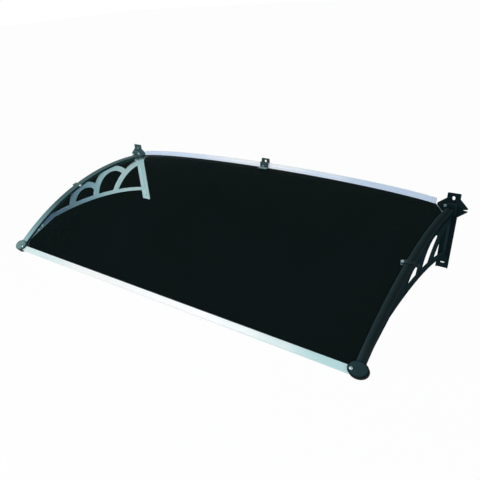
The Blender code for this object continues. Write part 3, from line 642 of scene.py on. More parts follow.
# letThrough is how clear the sheet is to the camera, elsewhere how clear it is to light
sheetLook = {"dark": (25, 37, 36), "mist": (30, 44, 43), "barShade": (11, 19, 18), "strip": 0.033,
             "letThrough": 0.62, "elsewhere": 0.85, "tint": (250, 255, 255),
             "haze": (5.0, 4.0), "flow": (1.0, 2.0), "flowStretch": (260.0, 3.0, 3.0),
             "flowHeight": 0.000012,
             "roughness": 0.24, "roughSwing": 0.08, "specular": 0.001,
             "glow": (100, 122, 128), "glowWidth": 0.0022}


def smokedSheetMaterial():
    # the camera sees through it less than light does, and not at all in the strip beside the rear bar
    material, tree = newMaterial("smokedPolycarbonate")
    place = objectPlace(tree)
    haze = noise(tree, place, *sheetLook["haze"])
    flowLines = noise(tree, stretched(tree, place, sheetLook["flowStretch"]), *sheetLook["flow"])
    spot = axes(tree, place)
    beforeStrip = calc(tree, "LESS_THAN", spot["Y"], awning["rearY"] - sheetLook["strip"])
    colour = mixColour(tree, haze, srgb(*sheetLook["dark"]), srgb(*sheetLook["mist"]))
    # beside the rear bar the sheet is opaque and painted darker, as shade
    colour = mixColour(tree, beforeStrip, srgb(*sheetLook["barShade"]), colour)

    # a painted highlight along the slanted cut at each rear corner, where the sheet is opaque
    start = Vector((sheetCut["rearCornerHalf"], awning["rearY"]))
    end = Vector((armX(sheetCut["rearNotchY"]) - armHalf, sheetCut["rearNotchY"]))
    outward = Vector((start.y - end.y, end.x - start.x)).normalized()
    halfWidth = calc(tree, "ABSOLUTE", spot["X"])
    flat = addNode(tree, "ShaderNodeCombineXYZ", {"X": halfWidth, "Y": spot["Y"], "Z": 0.0})
    beyond = addNode(tree, "ShaderNodeVectorMath", {0: flat.outputs[0], 1: (outward.x, outward.y, 0.0)},
                     operation="DOT_PRODUCT").outputs["Value"]
    glow = calc(tree, "GREATER_THAN", beyond, start.dot(outward) - sheetLook["glowWidth"])
    colour = mixColour(tree, glow, colour, srgb(*sheetLook["glow"]))

    roughness = calc(tree, "MULTIPLY_ADD", haze, sheetLook["roughSwing"], sheetLook["roughness"])
    smoked = principled(tree, colour, roughness, flowLines, sheetLook["flowHeight"], sheetLook["specular"])
    clear = addNode(tree, "ShaderNodeBsdfTransparent", {"Color": srgb(*sheetLook["tint"])}).outputs[0]
    solid = calc(tree, "MAXIMUM", glow, calc(tree, "SUBTRACT", 1.0, beforeStrip))
    seen = calc(tree, "MULTIPLY", calc(tree, "SUBTRACT", 1.0, solid), sheetLook["letThrough"])
    camera = addNode(tree, "ShaderNodeLightPath").outputs["Is Camera Ray"]
    through = addNode(tree, "ShaderNodeMix", {0: camera, 2: sheetLook["elsewhere"], 3: seen},
                      data_type="FLOAT")
    inner = addNode(tree, "ShaderNodeNewGeometry").outputs["Backfacing"]
    surface(tree, layered(tree, (smoked, clear), [calc(tree, "MAXIMUM", through.outputs[0], inner)]))
    return material


# painted light and shade: each bar's middle, left and right colours; the shade colour is that of the drawn
# lines, and painted shade on the rear bar's lower face
metals = {
    "frontAluminium": {"middle": (250, 252, 252), "left": (222, 242, 243), "right": (184, 222, 224),
                       "shade": (202, 218, 222), "fade": (0.22, 0.50), "roughness": 0.34, "metallic": 0.25},
    "rearAluminium": {"middle": (250, 252, 255), "left": (222, 234, 251), "right": (204, 220, 239),
                      "shade": (200, 214, 242), "fade": (0.06, 0.40), "roughness": 0.38, "metallic": 0.20},
    "lines": 0.20, "lineHeight": 0.00001, "specular": 0.5,
}


def aluminium(name):
    look = metals[name]
    material, tree = newMaterial(name)
    cover = useGroup(tree, dieLines, {
        "Middle Colour": srgb(*look["middle"]), "Left Colour": srgb(*look["left"]),
        "Right Colour": srgb(*look["right"]), "Shade Colour": srgb(*look["shade"]), "Lines": metals["lines"],
        "Fade From": look["fade"][0], "Fade To": look["fade"][1], "Roughness": look["roughness"]})
    coated(tree, cover, metals["lineHeight"], metals["specular"], look["metallic"])
    return material


# the darker and paler steels are painted shade and painted light, copies of the plated steel
steels = {
    "platedSteel": {"dark": (178, 206, 212), "light": (214, 232, 236), "roughness": 0.14, "metallic": 1.0},
    "shadedSteel": {"dark": (104, 126, 128), "light": (124, 146, 148), "roughness": 0.34, "metallic": 0.6},
    "paleSteel": {"dark": (226, 242, 248), "light": (244, 252, 255), "roughness": 0.38, "metallic": 0.2},
    "spots": (900.0, 3.0), "spotHeight": 0.000004, "roughSwing": 0.10, "specular": 0.5,
}


def steel(name):
    look = steels[name]
    material, tree = newMaterial(name)
    spots = noise(tree, objectPlace(tree), *steels["spots"])
    colour = mixColour(tree, spots, srgb(*look["dark"]), srgb(*look["light"]))
    roughness = calc(tree, "MULTIPLY_ADD", spots, steels["roughSwing"], look["roughness"])
    surface(tree, principled(tree, colour, roughness, spots, steels["spotHeight"], steels["specular"],
                             look["metallic"]))
    return material


rubber = {"dark": (14, 15, 16), "light": (34, 36, 38), "roughness": 0.75, "specular": 0.2,
          "grainHeight": 0.00004, "grain": {"Grain Size": 0.0009, "Mottle": 0.5, "Edge Light": 0.2}}


def rubberMaterial():
    material, tree = newMaterial("blackRubber")
    cover = useGroup(tree, grain, {**rubber["grain"], "Colour": srgb(*rubber["dark"]),
                                   "Light Colour": srgb(*rubber["light"]), "Roughness": rubber["roughness"]})
    coated(tree, cover, rubber["grainHeight"], rubber["specular"])
    return material


smokedSheet = smokedSheetMaterial()
paleBracket = litWebBracket()
charcoalCap, charcoalBracket = moulding("charcoalCap"), moulding("charcoalBracket")
slateCap, slateClip = moulding("slateCap"), moulding("slateClip")
charcoalArm, slateArm = armMoulding("charcoalArm"), armMoulding("slateArm")
frontAluminium, rearAluminium = aluminium("frontAluminium"), aluminium("rearAluminium")
platedSteel, shadedSteel, paleSteel = [steel(name) for name in ("platedSteel", "shadedSteel", "paleSteel")]
blackRubber = rubberMaterial()
print("materials ready")


# the sheet

def outerPlaces(y):
    # from a front corner's half-width out to the sheet's edge under the cover
    edge = armX(y) - armHalf
    places = [sheetCut["frontCornerHalf"]]
    places += [mix(sheetCut["frontCornerHalf"], edge, share) for share in sheetCut["outerShares"]]
    places.append(armX(y) + armHalf - sheetCut["lip"] - gap)
    return places


def sheetGrid():
    # rows from front to back, each with its half-widths from the middle outwards
    c = sheetCut
    turns = [math.pi / 2 * k / c["columns"] for k in range(c["columns"] + 1)]
    inner = [c["rearCornerHalf"] * math.sin(turn) for turn in turns]
    frontEnd = awning["frontY"] - (c["frontSlot"] - gap) * math.cos(armTilt(awning["frontY"]))
    grid = [(frontEnd, inner + [c["frontCornerHalf"]])]
    for k in range(c["rows"] + 1):
        y = mix(c["frontNotchY"], c["rearNotchY"], k / c["rows"])
        grid.append((y, inner + outerPlaces(y)))
    # each row over the slanted corner ends on its line, at one of the columns
    corner = outerPlaces(c["rearNotchY"])[:-1]
    for k in range(len(corner) - 1, 0, -1):
        share = (corner[-1] - corner[k - 1]) / (corner[-1] - c["rearCornerHalf"])
        grid.append((mix(c["rearNotchY"], awning["rearY"], share), inner + corner[:k]))
    grid.append((awning["rearY"], inner))
    grid.append((awning["rearY"] + c["rearSlot"] - gap, inner))
    return grid


def makeSheet():
    bm = newShape()
    thick = awning["sheetThickness"]
    rows, twins = [], {}
    for y, places in sheetGrid():
        tilt = armTilt(y)
        row = {}
        for k, x in enumerate(places):
            for side in ((-1, 1) if k else (1,)):
                z = sheetTop(x, y)
                upper = bm.verts.new((side * x, y, z))
                below = (side * x, y + thick * math.sin(tilt), z - thick * math.cos(tilt))
                twins[upper] = bm.verts.new(below)
                row[side * k] = upper
        rows.append(row)
    faces = []
    for first, second in zip(rows, rows[1:]):
        for k in sorted(first):
            if k + 1 in first and k in second and k + 1 in second:
                faces.append(bm.faces.new((first[k], first[k + 1], second[k + 1], second[k])))
    # triangles fill the steps along the slanted corners
    for first, second in zip(rows[sheetCut["rows"] + 1:], rows[sheetCut["rows"] + 2:]):
        last = max(second)
        if last + 1 in first:
            for side in (-1, 1):
                trio = [first[side * last], first[side * (last + 1)], second[side * last]]
                faces.append(bm.faces.new(trio if side > 0 else list(reversed(trio))))
    for face in faces:
        bm.faces.new([twins[vert] for vert in reversed(face.verts)])
    rims = [edge for edge in bm.edges if len(edge.link_faces) == 1 and edge.verts[0] in twins]
    for edge in rims:
        a, b = edge.verts
        bm.faces.new((a, b, twins[b], twins[a]))
    softenEdges(bm, sheetCut["edge"], sheetCut["bevelFrom"])
    finishPiece(newPiece("roofSheet", bm), smokedSheet, "sheet", sheetCut["sharp"])


makeSheet()
print("sheet done")


# bars; the front one's section is (distance forward, height), the rear one's (y, height above the sheet)
barSteps = 3


def jawHeight(cut):
    # the slot's lower side, under the sheet and its gasket
    return -(awning["sheetThickness"] + cut["gasket"] + 3 * gap)


frontBarCut = {"endX": 0.5745, "middleX": 0.2, "lip": 0.0020, "reach": 0.0160, "depth": 0.0125,
               "wall": 0.0016, "slot": 0.0090, "gasket": 0.0012, "round": 0.0005, "groove": 0.0005,
               "grooveSlope": 0.0003, "faceGroove": (0.0014, 0.0026), "topGroove": (0.0022, 0.0034),
               "sharp": 30}


def makeFrontBar():
    c = frontBarCut
    jaw = jawHeight(c)
    wall, reach, lip, slope = c["wall"], c["reach"], c["lip"], c["grooveSlope"]
    low = lip - c["depth"]
    faceLow, faceHigh = [low + height for height in c["faceGroove"]]
    topRear, topFront = c["topGroove"]
    inFace, inTop = reach - c["groove"], lip - c["groove"]
    section = [(0, gap), (c["slot"], gap), (c["slot"], jaw), (wall, jaw), (wall, jaw - wall),
               (reach - wall, jaw - wall), (reach - wall, low + wall), (wall * 2, low + wall),
               (wall * 2, low), (reach, low), (reach, faceLow), (inFace, faceLow + slope),
               (inFace, faceHigh - slope), (reach, faceHigh), (reach, lip), (topFront, lip),
               (topFront - slope, inTop), (topRear + slope, inTop), (topRear, lip), (0, lip)]
    matrix = armFrame(0, awning["frontY"], sheetDepth)
    bm = newShape()
    addSweep(bm, [[matrix @ Vector((x, -forward, height))
                   for forward, height in roundCorners(section, c["round"], barSteps)]
                  for x in (-c["endX"], -c["middleX"], c["middleX"], c["endX"])])
    finishPiece(newPiece("frontRail", bm), frontAluminium, "front_bar", c["sharp"])


# each chamber is (inset, low, front height, rear height)
rearBarCut = {"endX": 0.5562, "face": 0.0085, "height": 0.0160, "step": 0.0032, "stepSlope": 0.0012,
              "wall": 0.0016, "slot": 0.0045, "seal": 0.0026, "gasket": 0.0012, "round": 0.0006,
              "lowerChamber": (0.0014, 0.0018, 0.0070, 0.0072), "chamberRound": 0.0005,
              "upperChamber": (0.0013, 0.0088, 0.0146, 0.0146), "stations": 65, "lowerShade": 0.25,
              "sharp": 30}


def archedRows(section):
    c = rearBarCut
    rows = []
    for k in range(c["stations"]):
        x = mix(-c["endX"], c["endX"], k / (c["stations"] - 1))
        rows.append([(x, y, sheetTop(x, y) + height) for y, height in section])
    return rows


def chamber(front, back, cut):
    inset, low, frontHigh, rearHigh = cut
    front, back = front + inset, back - inset
    loop = [(front, low), (back, low), (back, rearHigh), (front, frontHigh)]
    return archedRows(roundCorners(loop, rearBarCut["chamberRound"], barSteps))


def makeRearBar():
    c = rearBarCut
    front, wall = awning["rearY"], c["wall"]
    back = -c["seal"] - gap
    jaw = jawHeight(c)
    deep, upper = front + c["slot"], front + c["step"]
    section = [(front, gap), (deep, gap), (deep, jaw), (front, jaw), (front, jaw - wall),
               (back, jaw - wall), (back, c["height"]), (upper, c["height"]),
               (upper, c["face"] + c["stepSlope"]), (front, c["face"])]
    bm = newShape()
    addSweep(bm, archedRows(roundCorners(section, c["round"], barSteps)),
             [chamber(front, back, c["lowerChamber"]), chamber(upper, back, c["upperChamber"])])
    # the bar's lower face, below the step, is painted in shade
    shadeTop = c["face"] - c["round"] / 2
    paint(bm, "shadeMask", lambda at: c["lowerShade"] if at.z - sheetTop(at.x, at.y) < shadeTop else 0.0)
    finishPiece(newPiece("rearRail", bm), rearAluminium, "rear_bar", c["sharp"])


makeFrontBar()
makeRearBar()
print("bars done")


# brackets; an arch is (y, z, radius, width) from its centre, the chord the same from its highest point
web = {
    "thickness": 0.008, "offset": 0.003, "edge": 0.0011, "intoRail": 0.0030, "openingIntoRail": 0.0004,
    "flankDepth": 0.0185, "flankY": -0.5660, "chordEndY": -0.4600,
    "chord": (-0.4000, -0.1148, 1.120, 0.012),
    "arches": {"rear": (-0.0160, -0.2600, 0.187, 0.018), "middle": (-0.1700, -0.1330, 0.082, 0.0212),
               "front": (-0.3070, -0.1260, 0.0585, 0.0222)},
    "crownDrop": 0.0024, "cornerRound": 0.0016, "cornerSteps": 4, "outlineSteps": (70, 4, 60),
    # each opening's sides in turn: a circle, or the y of an upright line; its steps; and whether it starts
    # at the crossing nearer the wall, where it crosses the side before it twice
    "openings": (
        (("rearIn", 26, False), (-0.0110, 1, None), ("chordTop", 14, None)),
        (("middleIn", 32, False), ("rearOut", 16, True), ("chordTop", 10, False)),
        (("frontIn", 26, False), ("middleOut", 8, True), ("chordTop", 10, False)),
        (("under", 16, True), (-0.0300, 1, None), ("rearOut", 12, None), ("middleOut", 12, True)),
        (("under", 12, True), ("middleOut", 9, False), ("frontOut", 9, True)),
        (("under", 14, None), ("frontOut", 14, False), ("chordTop", 10, False), (-0.4645, 1, None)),
    ),
}
rail = {"thickness": 0.0035, "lip": 0.0032, "stations": 60, "round": 0.0007, "roundSteps": 3,
        "skirt": {"width": 0.0024, "depth": 0.0080, "frontY": -0.2100, "fullY": -0.1500, "rearY": -0.0200,
                  "stations": 30, "round": 0.00042, "roundSteps": 2}}
# wings are (top, height of the tip, foot), slots (z, width, length), rims and ribs (width, height, edge)
plate = {
    "thickness": 0.0045, "edge": 0.0007, "tabHalf": 0.0175, "tabTopZ": 0.0065, "tabShoulderZ": -0.0090,
    "wingHalf": 0.0403, "innerWing": (-0.0275, 0.0055, -0.0580), "outerWing": (-0.0325, 0.0098, -0.0620),
    "fork": {"depth": 0.0165, "z": -0.0385, "prong": 0.0018}, "postHalf": 0.0170, "footZ": -0.2265,
    "round": {"tab": 0.002, "shoulder": 0.003, "tip": 0.001, "root": 0.004, "foot": 0.002},
    "tabSlot": (-0.0070, 0.008, 0.013), "footSlot": (-0.2100, 0.005, 0.012),
    "slotRim": (0.0016, 0.0026, 0.0005), "rib": (0.0035, 0.0030, 0.0009), "ribRise": 0.004,
    "ribRound": 0.0016, "roundSteps": 4,
}
# rounds go from the outer top corner down and round by the lug
nose = {"thickness": 0.004, "edge": 0.0008, "topZ": -0.0185, "half": 0.0125, "footZ": -0.0520,
        "lug": 0.0225, "lugTopZ": -0.0200, "lugFootZ": -0.0300,
        "rounds": (0.006, 0.004, 0.004, 0.002, 0.0045, 0.0045, 0.001, 0.002),
        "coreHalf": 0.0125, "coreTopZ": -0.0205, "coreFootZ": -0.0560, "coreRound": 0.003,
        "coreEdge": 0.0003, "coreOverlap": 0.001, "roundSteps": 6, "coreSteps": 5}
bracketSharp = 32


def arcBetween(centre, start, end, steps):
    first = math.atan2(start[1] - centre[1], start[0] - centre[0])
    last = math.atan2(end[1] - centre[1], end[0] - centre[0])
    turn = (last - first + math.pi) % (2 * math.pi) - math.pi
    radius = math.hypot(start[0] - centre[0], start[1] - centre[1])
    return [(centre[0] + radius * math.cos(first + turn * k / steps),
             centre[1] + radius * math.sin(first + turn * k / steps)) for k in range(steps)]


def meet(one, other, nearWall):
    # crossing of two circles, the one nearer the wall or the other
    dy, dz = other[0] - one[0], other[1] - one[1]
    span = math.hypot(dy, dz)
    along = (one[2] ** 2 - other[2] ** 2 + span ** 2) / (2 * span)
    off = math.sqrt(one[2] ** 2 - along ** 2)
    pair = []
    for sign in (-1, 1):
        pair.append((one[0] + (along * dy - sign * off * dz) / span,
                     one[1] + (along * dz + sign * off * dy) / span))
    return max(pair) if nearWall else min(pair)


def onCircle(circle, y):
    return (y, circle[1] + math.sqrt(circle[2] ** 2 - (y - circle[0]) ** 2))


def webCircles():
    apexY, apexZ = awning["armApex"]
    radius = awning["armRadius"]
    railLow = railDepth + rail["thickness"]
    chordY, chordZ, chordRadius, chordWidth = web["chord"]
    circles = {
        "under": (apexY, apexZ - radius, radius - railLow + web["openingIntoRail"]),
        "top": (apexY, apexZ - radius, radius - railLow + web["intoRail"]),
        "flank": (apexY, apexZ - radius, radius - web["flankDepth"]),
        "chordLow": (chordY, chordZ - chordRadius, chordRadius),
        "chordTop": (chordY, chordZ - chordRadius, chordRadius + chordWidth),
    }
    for name, (y, z, radius, width) in web["arches"].items():
        circles[name + "In"] = (y, z, radius)
        circles[name + "Out"] = (y, z - (0.0 if name == "rear" else web["crownDrop"]), radius + width)
    return circles


def webOutline(circles):
    rear, tip = -plate["thickness"] / 2, awning["armTipY"] + gap
    sides = (("top", rear, tip), ("flank", tip, web["flankY"]), ("chordLow", web["chordEndY"], rear))
    points = []
    for (name, startY, endY), steps in zip(sides, web["outlineSteps"]):
        start, end = onCircle(circles[name], startY), onCircle(circles[name], endY)
        points += arcBetween(circles[name], start, end, steps) + [end]
    return points


def webOpenings(circles):
    openings = []
    for sides in web["openings"]:
        starts = []
        for (before, *_), (side, _, nearWall) in zip(sides[-1:] + sides[:-1], sides):
            if before in circles and side in circles:
                starts.append(meet(circles[before], circles[side], nearWall))
            elif before in circles:
                starts.append(onCircle(circles[before], side))
            else:
                starts.append(onCircle(circles[side], before))
        points = []
        for (side, steps, _), start, end in zip(sides, starts, starts[1:] + starts[:1]):
            points += arcBetween(circles[side], start, end, steps) if side in circles else [start]
        openings.append(roundCorners(points, web["cornerRound"], web["cornerSteps"]))
    return openings


def armRow(side, section, y):
    return [(side * (armX(y) + across), y, arcZ(y, depth)) for across, depth in section]


def armRows(side, section, startY, stations):
    places = [mix(startY, awning["armTipY"], k / (stations - 1)) for k in range(stations)]
    return [armRow(side, section, y) for y in places]


def uprightAt(side):
    return lambda a, b, depth: (side * (awning["postX"] + a), depth, b)


def addWeb(bm, side):
    circles = webCircles()
    half = web["thickness"] / 2
    addPlate(bm, [webOutline(circles)] + webOpenings(circles),
             lambda a, b, depth: (side * (armX(a) + web["offset"] + depth), a, b), -half, half, web["edge"])


def addRail(bm, side):
    # the rail under the sheet, with its outer lip
    lipIn, low = armHalf - rail["lip"], railDepth + rail["thickness"]
    section = roundCorners([(-armHalf, railDepth), (lipIn, railDepth), (lipIn, sheetDepth),
                            (armHalf, sheetDepth), (armHalf, low), (-armHalf, low)], rail["round"],
                           rail["roundSteps"])
    addSweep(bm, armRows(side, section, awning["noseY"] + nose["thickness"] / 2, rail["stations"]))


def addSkirt(bm, side):
    # towards the wall the rail's outer side is deeper, and is painted in shade
    skirt = rail["skirt"]
    railLow = railDepth + rail["thickness"]
    rows = []
    for k in range(skirt["stations"]):
        y = mix(skirt["frontY"], skirt["rearY"], k / (skirt["stations"] - 1))
        share = min((y - skirt["frontY"]) / (skirt["fullY"] - skirt["frontY"]), 1.0)
        low = railLow + gap + skirt["depth"] * share * share * (3 - 2 * share)
        loop = rectangle(armHalf - skirt["width"], armHalf, railLow - rail["round"], low)
        rows.append(armRow(side, roundCorners(loop, skirt["round"], skirt["roundSteps"]), y))
    before = len(bm.verts)
    addSweep(bm, rows)
    paint(bm, "shadeMask", lambda at: 1.0, before)


def addWallPlate(bm, side):
    # tab, forked outer wing, post and inner wing, then a rim round the tab's slot and ribs down the post
    innerZ, innerTip, innerFoot = plate["innerWing"]
    outerZ, outerTip, outerFoot = plate["outerWing"]
    wing, tab, post, footZ = plate["wingHalf"], plate["tabHalf"], plate["postHalf"], plate["footZ"]
    fork, bend = plate["fork"], plate["round"]
    outline = [(tab, plate["tabTopZ"]), (tab, plate["tabShoulderZ"]), (wing, outerZ),
               (wing, outerZ - fork["prong"]), (wing - fork["depth"], fork["z"]),
               (wing, outerZ - outerTip + fork["prong"]), (wing, outerZ - outerTip), (post, outerFoot),
               (post, footZ), (-post, footZ), (-post, innerFoot), (-wing, innerZ - innerTip),
               (-wing, innerZ), (-tab, plate["tabShoulderZ"]), (-tab, plate["tabTopZ"])]
    rounds = [bend["tab"], bend["shoulder"], *[bend["tip"]] * 5, bend["root"], bend["foot"], bend["foot"],
              bend["root"], *[bend["tip"]] * 2, bend["shoulder"], bend["tab"]]
    tabZ, tabWide, tabLong = plate["tabSlot"]
    slotZ, slotWide, slotLong = plate["footSlot"]
    tabSlot = stadium((0, tabZ), tabWide / 2, tabLong / 2, True)
    footSlot = stadium((0, slotZ), slotWide / 2, slotLong / 2, False)
    face, inside = -plate["thickness"], -plate["thickness"] / 2
    loops = [roundCorners(outline, rounds, plate["roundSteps"]), tabSlot, footSlot]
    addPlate(bm, loops, uprightAt(side), face, 0.0, plate["edge"])
    rimWide, rimHigh, rimEdge = plate["slotRim"]
    rim = stadium((0, tabZ), tabWide / 2 + rimWide, tabLong / 2 + rimWide, True)
    addPlate(bm, [rim, tabSlot], uprightAt(side), face - rimHigh, inside, rimEdge)
    ribWide, ribHigh, ribEdge = plate["rib"]
    for low in (-post, post - ribWide):
        rib = rectangle(low, low + ribWide, footZ, outerFoot + plate["ribRise"])
        rib = roundCorners(rib, plate["ribRound"], plate["roundSteps"])
        addPlate(bm, [rib], uprightAt(side), face - ribHigh, inside, ribEdge)


def addArmRoot(bm, side):
    # the plate that the arm starts from, with its screw lug, and the block between it and the wall plate
    n = nose
    half, lug = n["half"], n["lug"]
    outline = [(half, n["topZ"]), (half, n["footZ"]), (-half, n["footZ"]), (-half, n["lugFootZ"]),
               (-lug, n["lugFootZ"]), (-lug, n["lugTopZ"]), (-half, n["lugTopZ"]), (-half, n["topZ"])]
    back = awning["noseY"] + n["thickness"]
    addPlate(bm, [roundCorners(outline, n["rounds"], n["roundSteps"])], uprightAt(side), awning["noseY"],
             back, n["edge"])
    core = rectangle(-n["coreHalf"], n["coreHalf"], n["coreTopZ"], n["coreFootZ"])
    addPlate(bm, [roundCorners(core, n["coreRound"], n["coreSteps"])], uprightAt(side),
             back - n["coreOverlap"], -plate["thickness"] / 2, n["coreEdge"])


def makeBracket(side, word, material):
    bm = newShape()
    for add in (addWeb, addRail, addSkirt, addWallPlate, addArmRoot):
        add(bm, side)
    finishPiece(newPiece(word + "WallBracket", bm), material, word + "_bracket", bracketSharp)


coverCut = {"crown": 0.0014, "flat": 0.50, "round": 0.0007, "roundSteps": 3, "steps": 14, "stations": 60,
            "wearHighlightWidth": 0.0011, "wearHighlightDepth": 0.0028, "sharp": 30}


def makeCover(side, word, material):
    c = coverCut
    thick = awning["stripThickness"]
    section = [(-armHalf, thick)]
    for k in range(c["steps"] + 1):
        across = mix(-1.0, 1.0, k / c["steps"])
        fall = max(abs(across) - c["flat"], 0.0) / (1 - c["flat"])
        section.append((armHalf * across, c["crown"] * fall ** 2))
    section.append((armHalf, thick))
    bm = newShape()
    section = roundCorners(section, c["round"], c["roundSteps"])
    addSweep(bm, armRows(side, section, awning["noseY"] - gap, c["stations"]))

    # the cover's top edges are marked for painted highlight and wear
    def edgeWearAndHighlight(at):
        fromEdge = abs(abs(abs(at.x) - armX(at.y)) - armHalf)
        return float(fromEdge < c["wearHighlightWidth"] and at.z > arcZ(at.y, c["wearHighlightDepth"]))

    paint(bm, "edgeMask", edgeWearAndHighlight)
    finishPiece(newPiece(word + "ArmCover", bm), material, word + "_cover_strip", c["sharp"])


makeBracket(-1, "left", paleBracket)
makeBracket(1, "right", charcoalBracket)
makeCover(-1, "left", slateArm)
makeCover(1, "right", charcoalArm)
print("brackets and covers done")


# fasteners; heads are (radius, height, shank radius), and the rest of a screw's shape is in shares of these
screwCut = {"pan": (0.0042, 0.0024, 0.0018), "smallPan": (0.0027, 0.0014, 0.0012),
            "webPan": (0.0034, 0.0016, 0.0012), "tipWidth": 0.7, "tipLength": 0.8, "underWidth": 0.97,
            "underHeight": 0.08, "rimHeight": 0.30, "domeSteps": 8, "crossReach": 0.56, "crossDepth": 0.55,
            "crossTop": 1.3, "crossTaper": (0.62, 1.08), "segments": 40, "sharp": 30}
crossWidth = 0.0010                   # on the largest head, smaller in step on the others


def makeScrew(name, matrix, size, length, node, material):
    # domed head on local Z with a cross recess, its shank below
    c = screwCut
    radius, height, shank = c[size]
    rim = c["rimHeight"]
    profile = [(0, -length), (shank * c["tipWidth"], -length), (shank, -length + shank * c["tipLength"]),
               (shank, gap), (radius * c["underWidth"], gap), (radius, gap + height * c["underHeight"]),
               (radius, height * rim)]
    for k in range(1, c["domeSteps"]):
        angle = math.pi / 2 * k / c["domeSteps"]
        profile.append((radius * math.cos(angle), height * (rim + (1 - rim) * math.sin(angle))))
    profile.append((0, height))
    bm = newShape()
    addTurned(bm, profile, matrix, c["segments"])
    screw = newPiece(name, bm)
    wide, long = crossWidth / 2 * radius / c["pan"][0], radius * c["crossReach"]
    quarter, cross = [(long, wide), (wide, wide), (wide, long)], []
    for k in range(4):
        cross += quarter
        quarter = [(-b, a) for a, b in quarter]
    levels = zip((height * (1 - c["crossDepth"]), height * c["crossTop"]), c["crossTaper"])
    cutter = newShape()
    addSweep(cutter, [[matrix @ Vector((a * grow, b * grow, z)) for a, b in cross] for z, grow in levels])
    carve(screw, cutter)
    finishPiece(screw, material, node, c["sharp"])


# clamps; a strap over the arm, an ear on the sheet and a lug outside the rail
clampCut = {"y": -0.3355, "half": 0.0062, "thickness": 0.0018, "earReach": 0.0070, "lugDrop": 0.0048,
            "edge": 0.00035, "blankLength": 1.8, "blankReach": 1.2, "stations": 9, "cutDepth": 0.02,
            "endSteps": 14, "bendShare": 0.78, "earShares": (0.0, 0.2, 0.4, 0.6, 0.85, 1.0),
            "flatBelow": 0.5, "bevelFrom": 40, "sharp": 35}
nutCut = {"radius": 0.0040, "height": 0.0030, "chamfer": 0.0005, "chamferSlope": 0.6, "bore": 0.0019,
          "sides": 6, "sharp": 25}
slopeStep = 0.002                     # distance either side at which the sheet's slope is taken


def clampScrewFrame(side):
    y = clampCut["y"]
    x = armX(y) - armHalf - clampCut["earReach"]
    step = slopeStep
    across = Vector((2 * step, 0, sheetTop(x + step, y) - sheetTop(x - step, y)))
    along = Vector((0, 2 * step, sheetTop(x, y + step) - sheetTop(x, y - step)))
    normal = across.cross(along).normalized()
    across.normalize()
    foot = Vector((x, y, sheetTop(x, y))) + normal * (gap + clampCut["thickness"])
    for vector in (foot, normal):
        vector.x *= side
    across.z *= side
    return frameAt(foot, across, normal)


def makeNut(side, word):
    c = nutCut
    matrix = clampScrewFrame(side)
    top = -(clampCut["thickness"] + awning["sheetThickness"] + 3 * gap)
    low, inner, slope = top - c["height"], c["radius"] - c["chamfer"], c["chamfer"] * c["chamferSlope"]
    levels = ((c["bore"], low), (inner, low), (c["radius"], low + slope), (c["radius"], top - slope),
              (inner, top), (c["bore"], top))
    bm = newShape()
    rows = []
    for radius, z in levels:
        turns = [math.tau * k / c["sides"] for k in range(c["sides"])]
        rows.append([bm.verts.new(matrix @ Vector((radius * math.cos(turn), radius * math.sin(turn), z)))
                     for turn in turns])
    bridge(bm, rows + rows[:1])
    nut = newPiece(word + "ClampNut", bm)
    finishPiece(nut, shadedSteel, word + "_clamp_nut", c["sharp"])


def clampRow(side, y):
    # the strap's section at y: its underside from the ear's end outwards, then its top back again
    c = clampCut
    half, thick = armHalf + gap, c["thickness"]
    ear = armHalf + c["earReach"] + c["half"] * c["blankReach"]
    centre, level = armX(y), arcZ(y)
    low = []
    for share in c["earShares"]:
        across = mix(-ear, -half, share)
        low.append((across, sheetTop(centre + across, y) + gap))
    lug = level - c["lugDrop"]
    high = [(across, z + thick) for across, z in low]
    # the top's bend lies a little further in than the underside's
    high[-2:] = [(mix(-ear, -half, c["bendShare"]), high[-2][1]), (-half - thick, high[-1][1])]
    low += [(-half, level + gap), (half, level + gap), (half, lug), (ear, lug)]
    high += [(-half - thick, level + gap + thick), (half + thick, level + gap + thick),
             (half + thick, lug + thick), (ear, lug + thick)]
    return [(side * (centre + across), y, z) for across, z in low + list(reversed(high))]


def makeClamp(side, word, material):
    c = clampCut
    bm = newShape()
    addSweep(bm, [clampRow(side, c["y"] + c["half"] * c["blankLength"] * (2 * k / (c["stations"] - 1) - 1))
                  for k in range(c["stations"])])
    strap = newPiece(word + "ArmClamp", bm)
    plan = stadium((0, 0), c["half"], armHalf + c["earReach"] + c["half"], False, c["endSteps"])
    base, reach = armFrame(side * armX(c["y"]), c["y"]), c["cutDepth"]
    cutter = newShape()
    addPlate(cutter, [plan], lambda a, b, depth: base @ Vector((a, b, depth)), -reach, reach, 0.0)
    carve(strap, cutter, "INTERSECT")
    closeAgain(strap, reopen(strap), c)
    finishPiece(strap, material, word + "_arm_clamp", c["sharp"])


# front caps
capCut = {"y": -0.6090, "offset": 0.0007, "halfWidth": 0.0229, "halfLength": 0.0180, "crown": 0.0042,
          "fullness": 0.9, "depth": 0.0165, "round": 0.0030, "roundSteps": 4, "domeSteps": 12,
          "segments": 72, "lineTop": -0.0041, "lineFoot": -0.0052, "lineSlope": 0.0002,
          "lineDepth": 0.0006, "rimFrom": 0.80, "screwInset": 0.0134, "screwLead": 0.0033, "seat": 0.0016,
          "screwLength": 0.0145, "bore": 0.0021, "recessPlay": 0.0006, "recessDepth": 0.0016,
          "flare": 0.0016, "flareTop": 0.0036, "cutTop": 0.01, "sharp": 34}


def capFrame(side):
    return armFrame(side * (armX(capCut["y"]) + capCut["offset"]), capCut["y"])


def capScrewFrame(side):
    place = (-side * capCut["screwInset"], -capCut["screwLead"], capCut["seat"])
    return capFrame(side) @ Matrix.Translation(place)


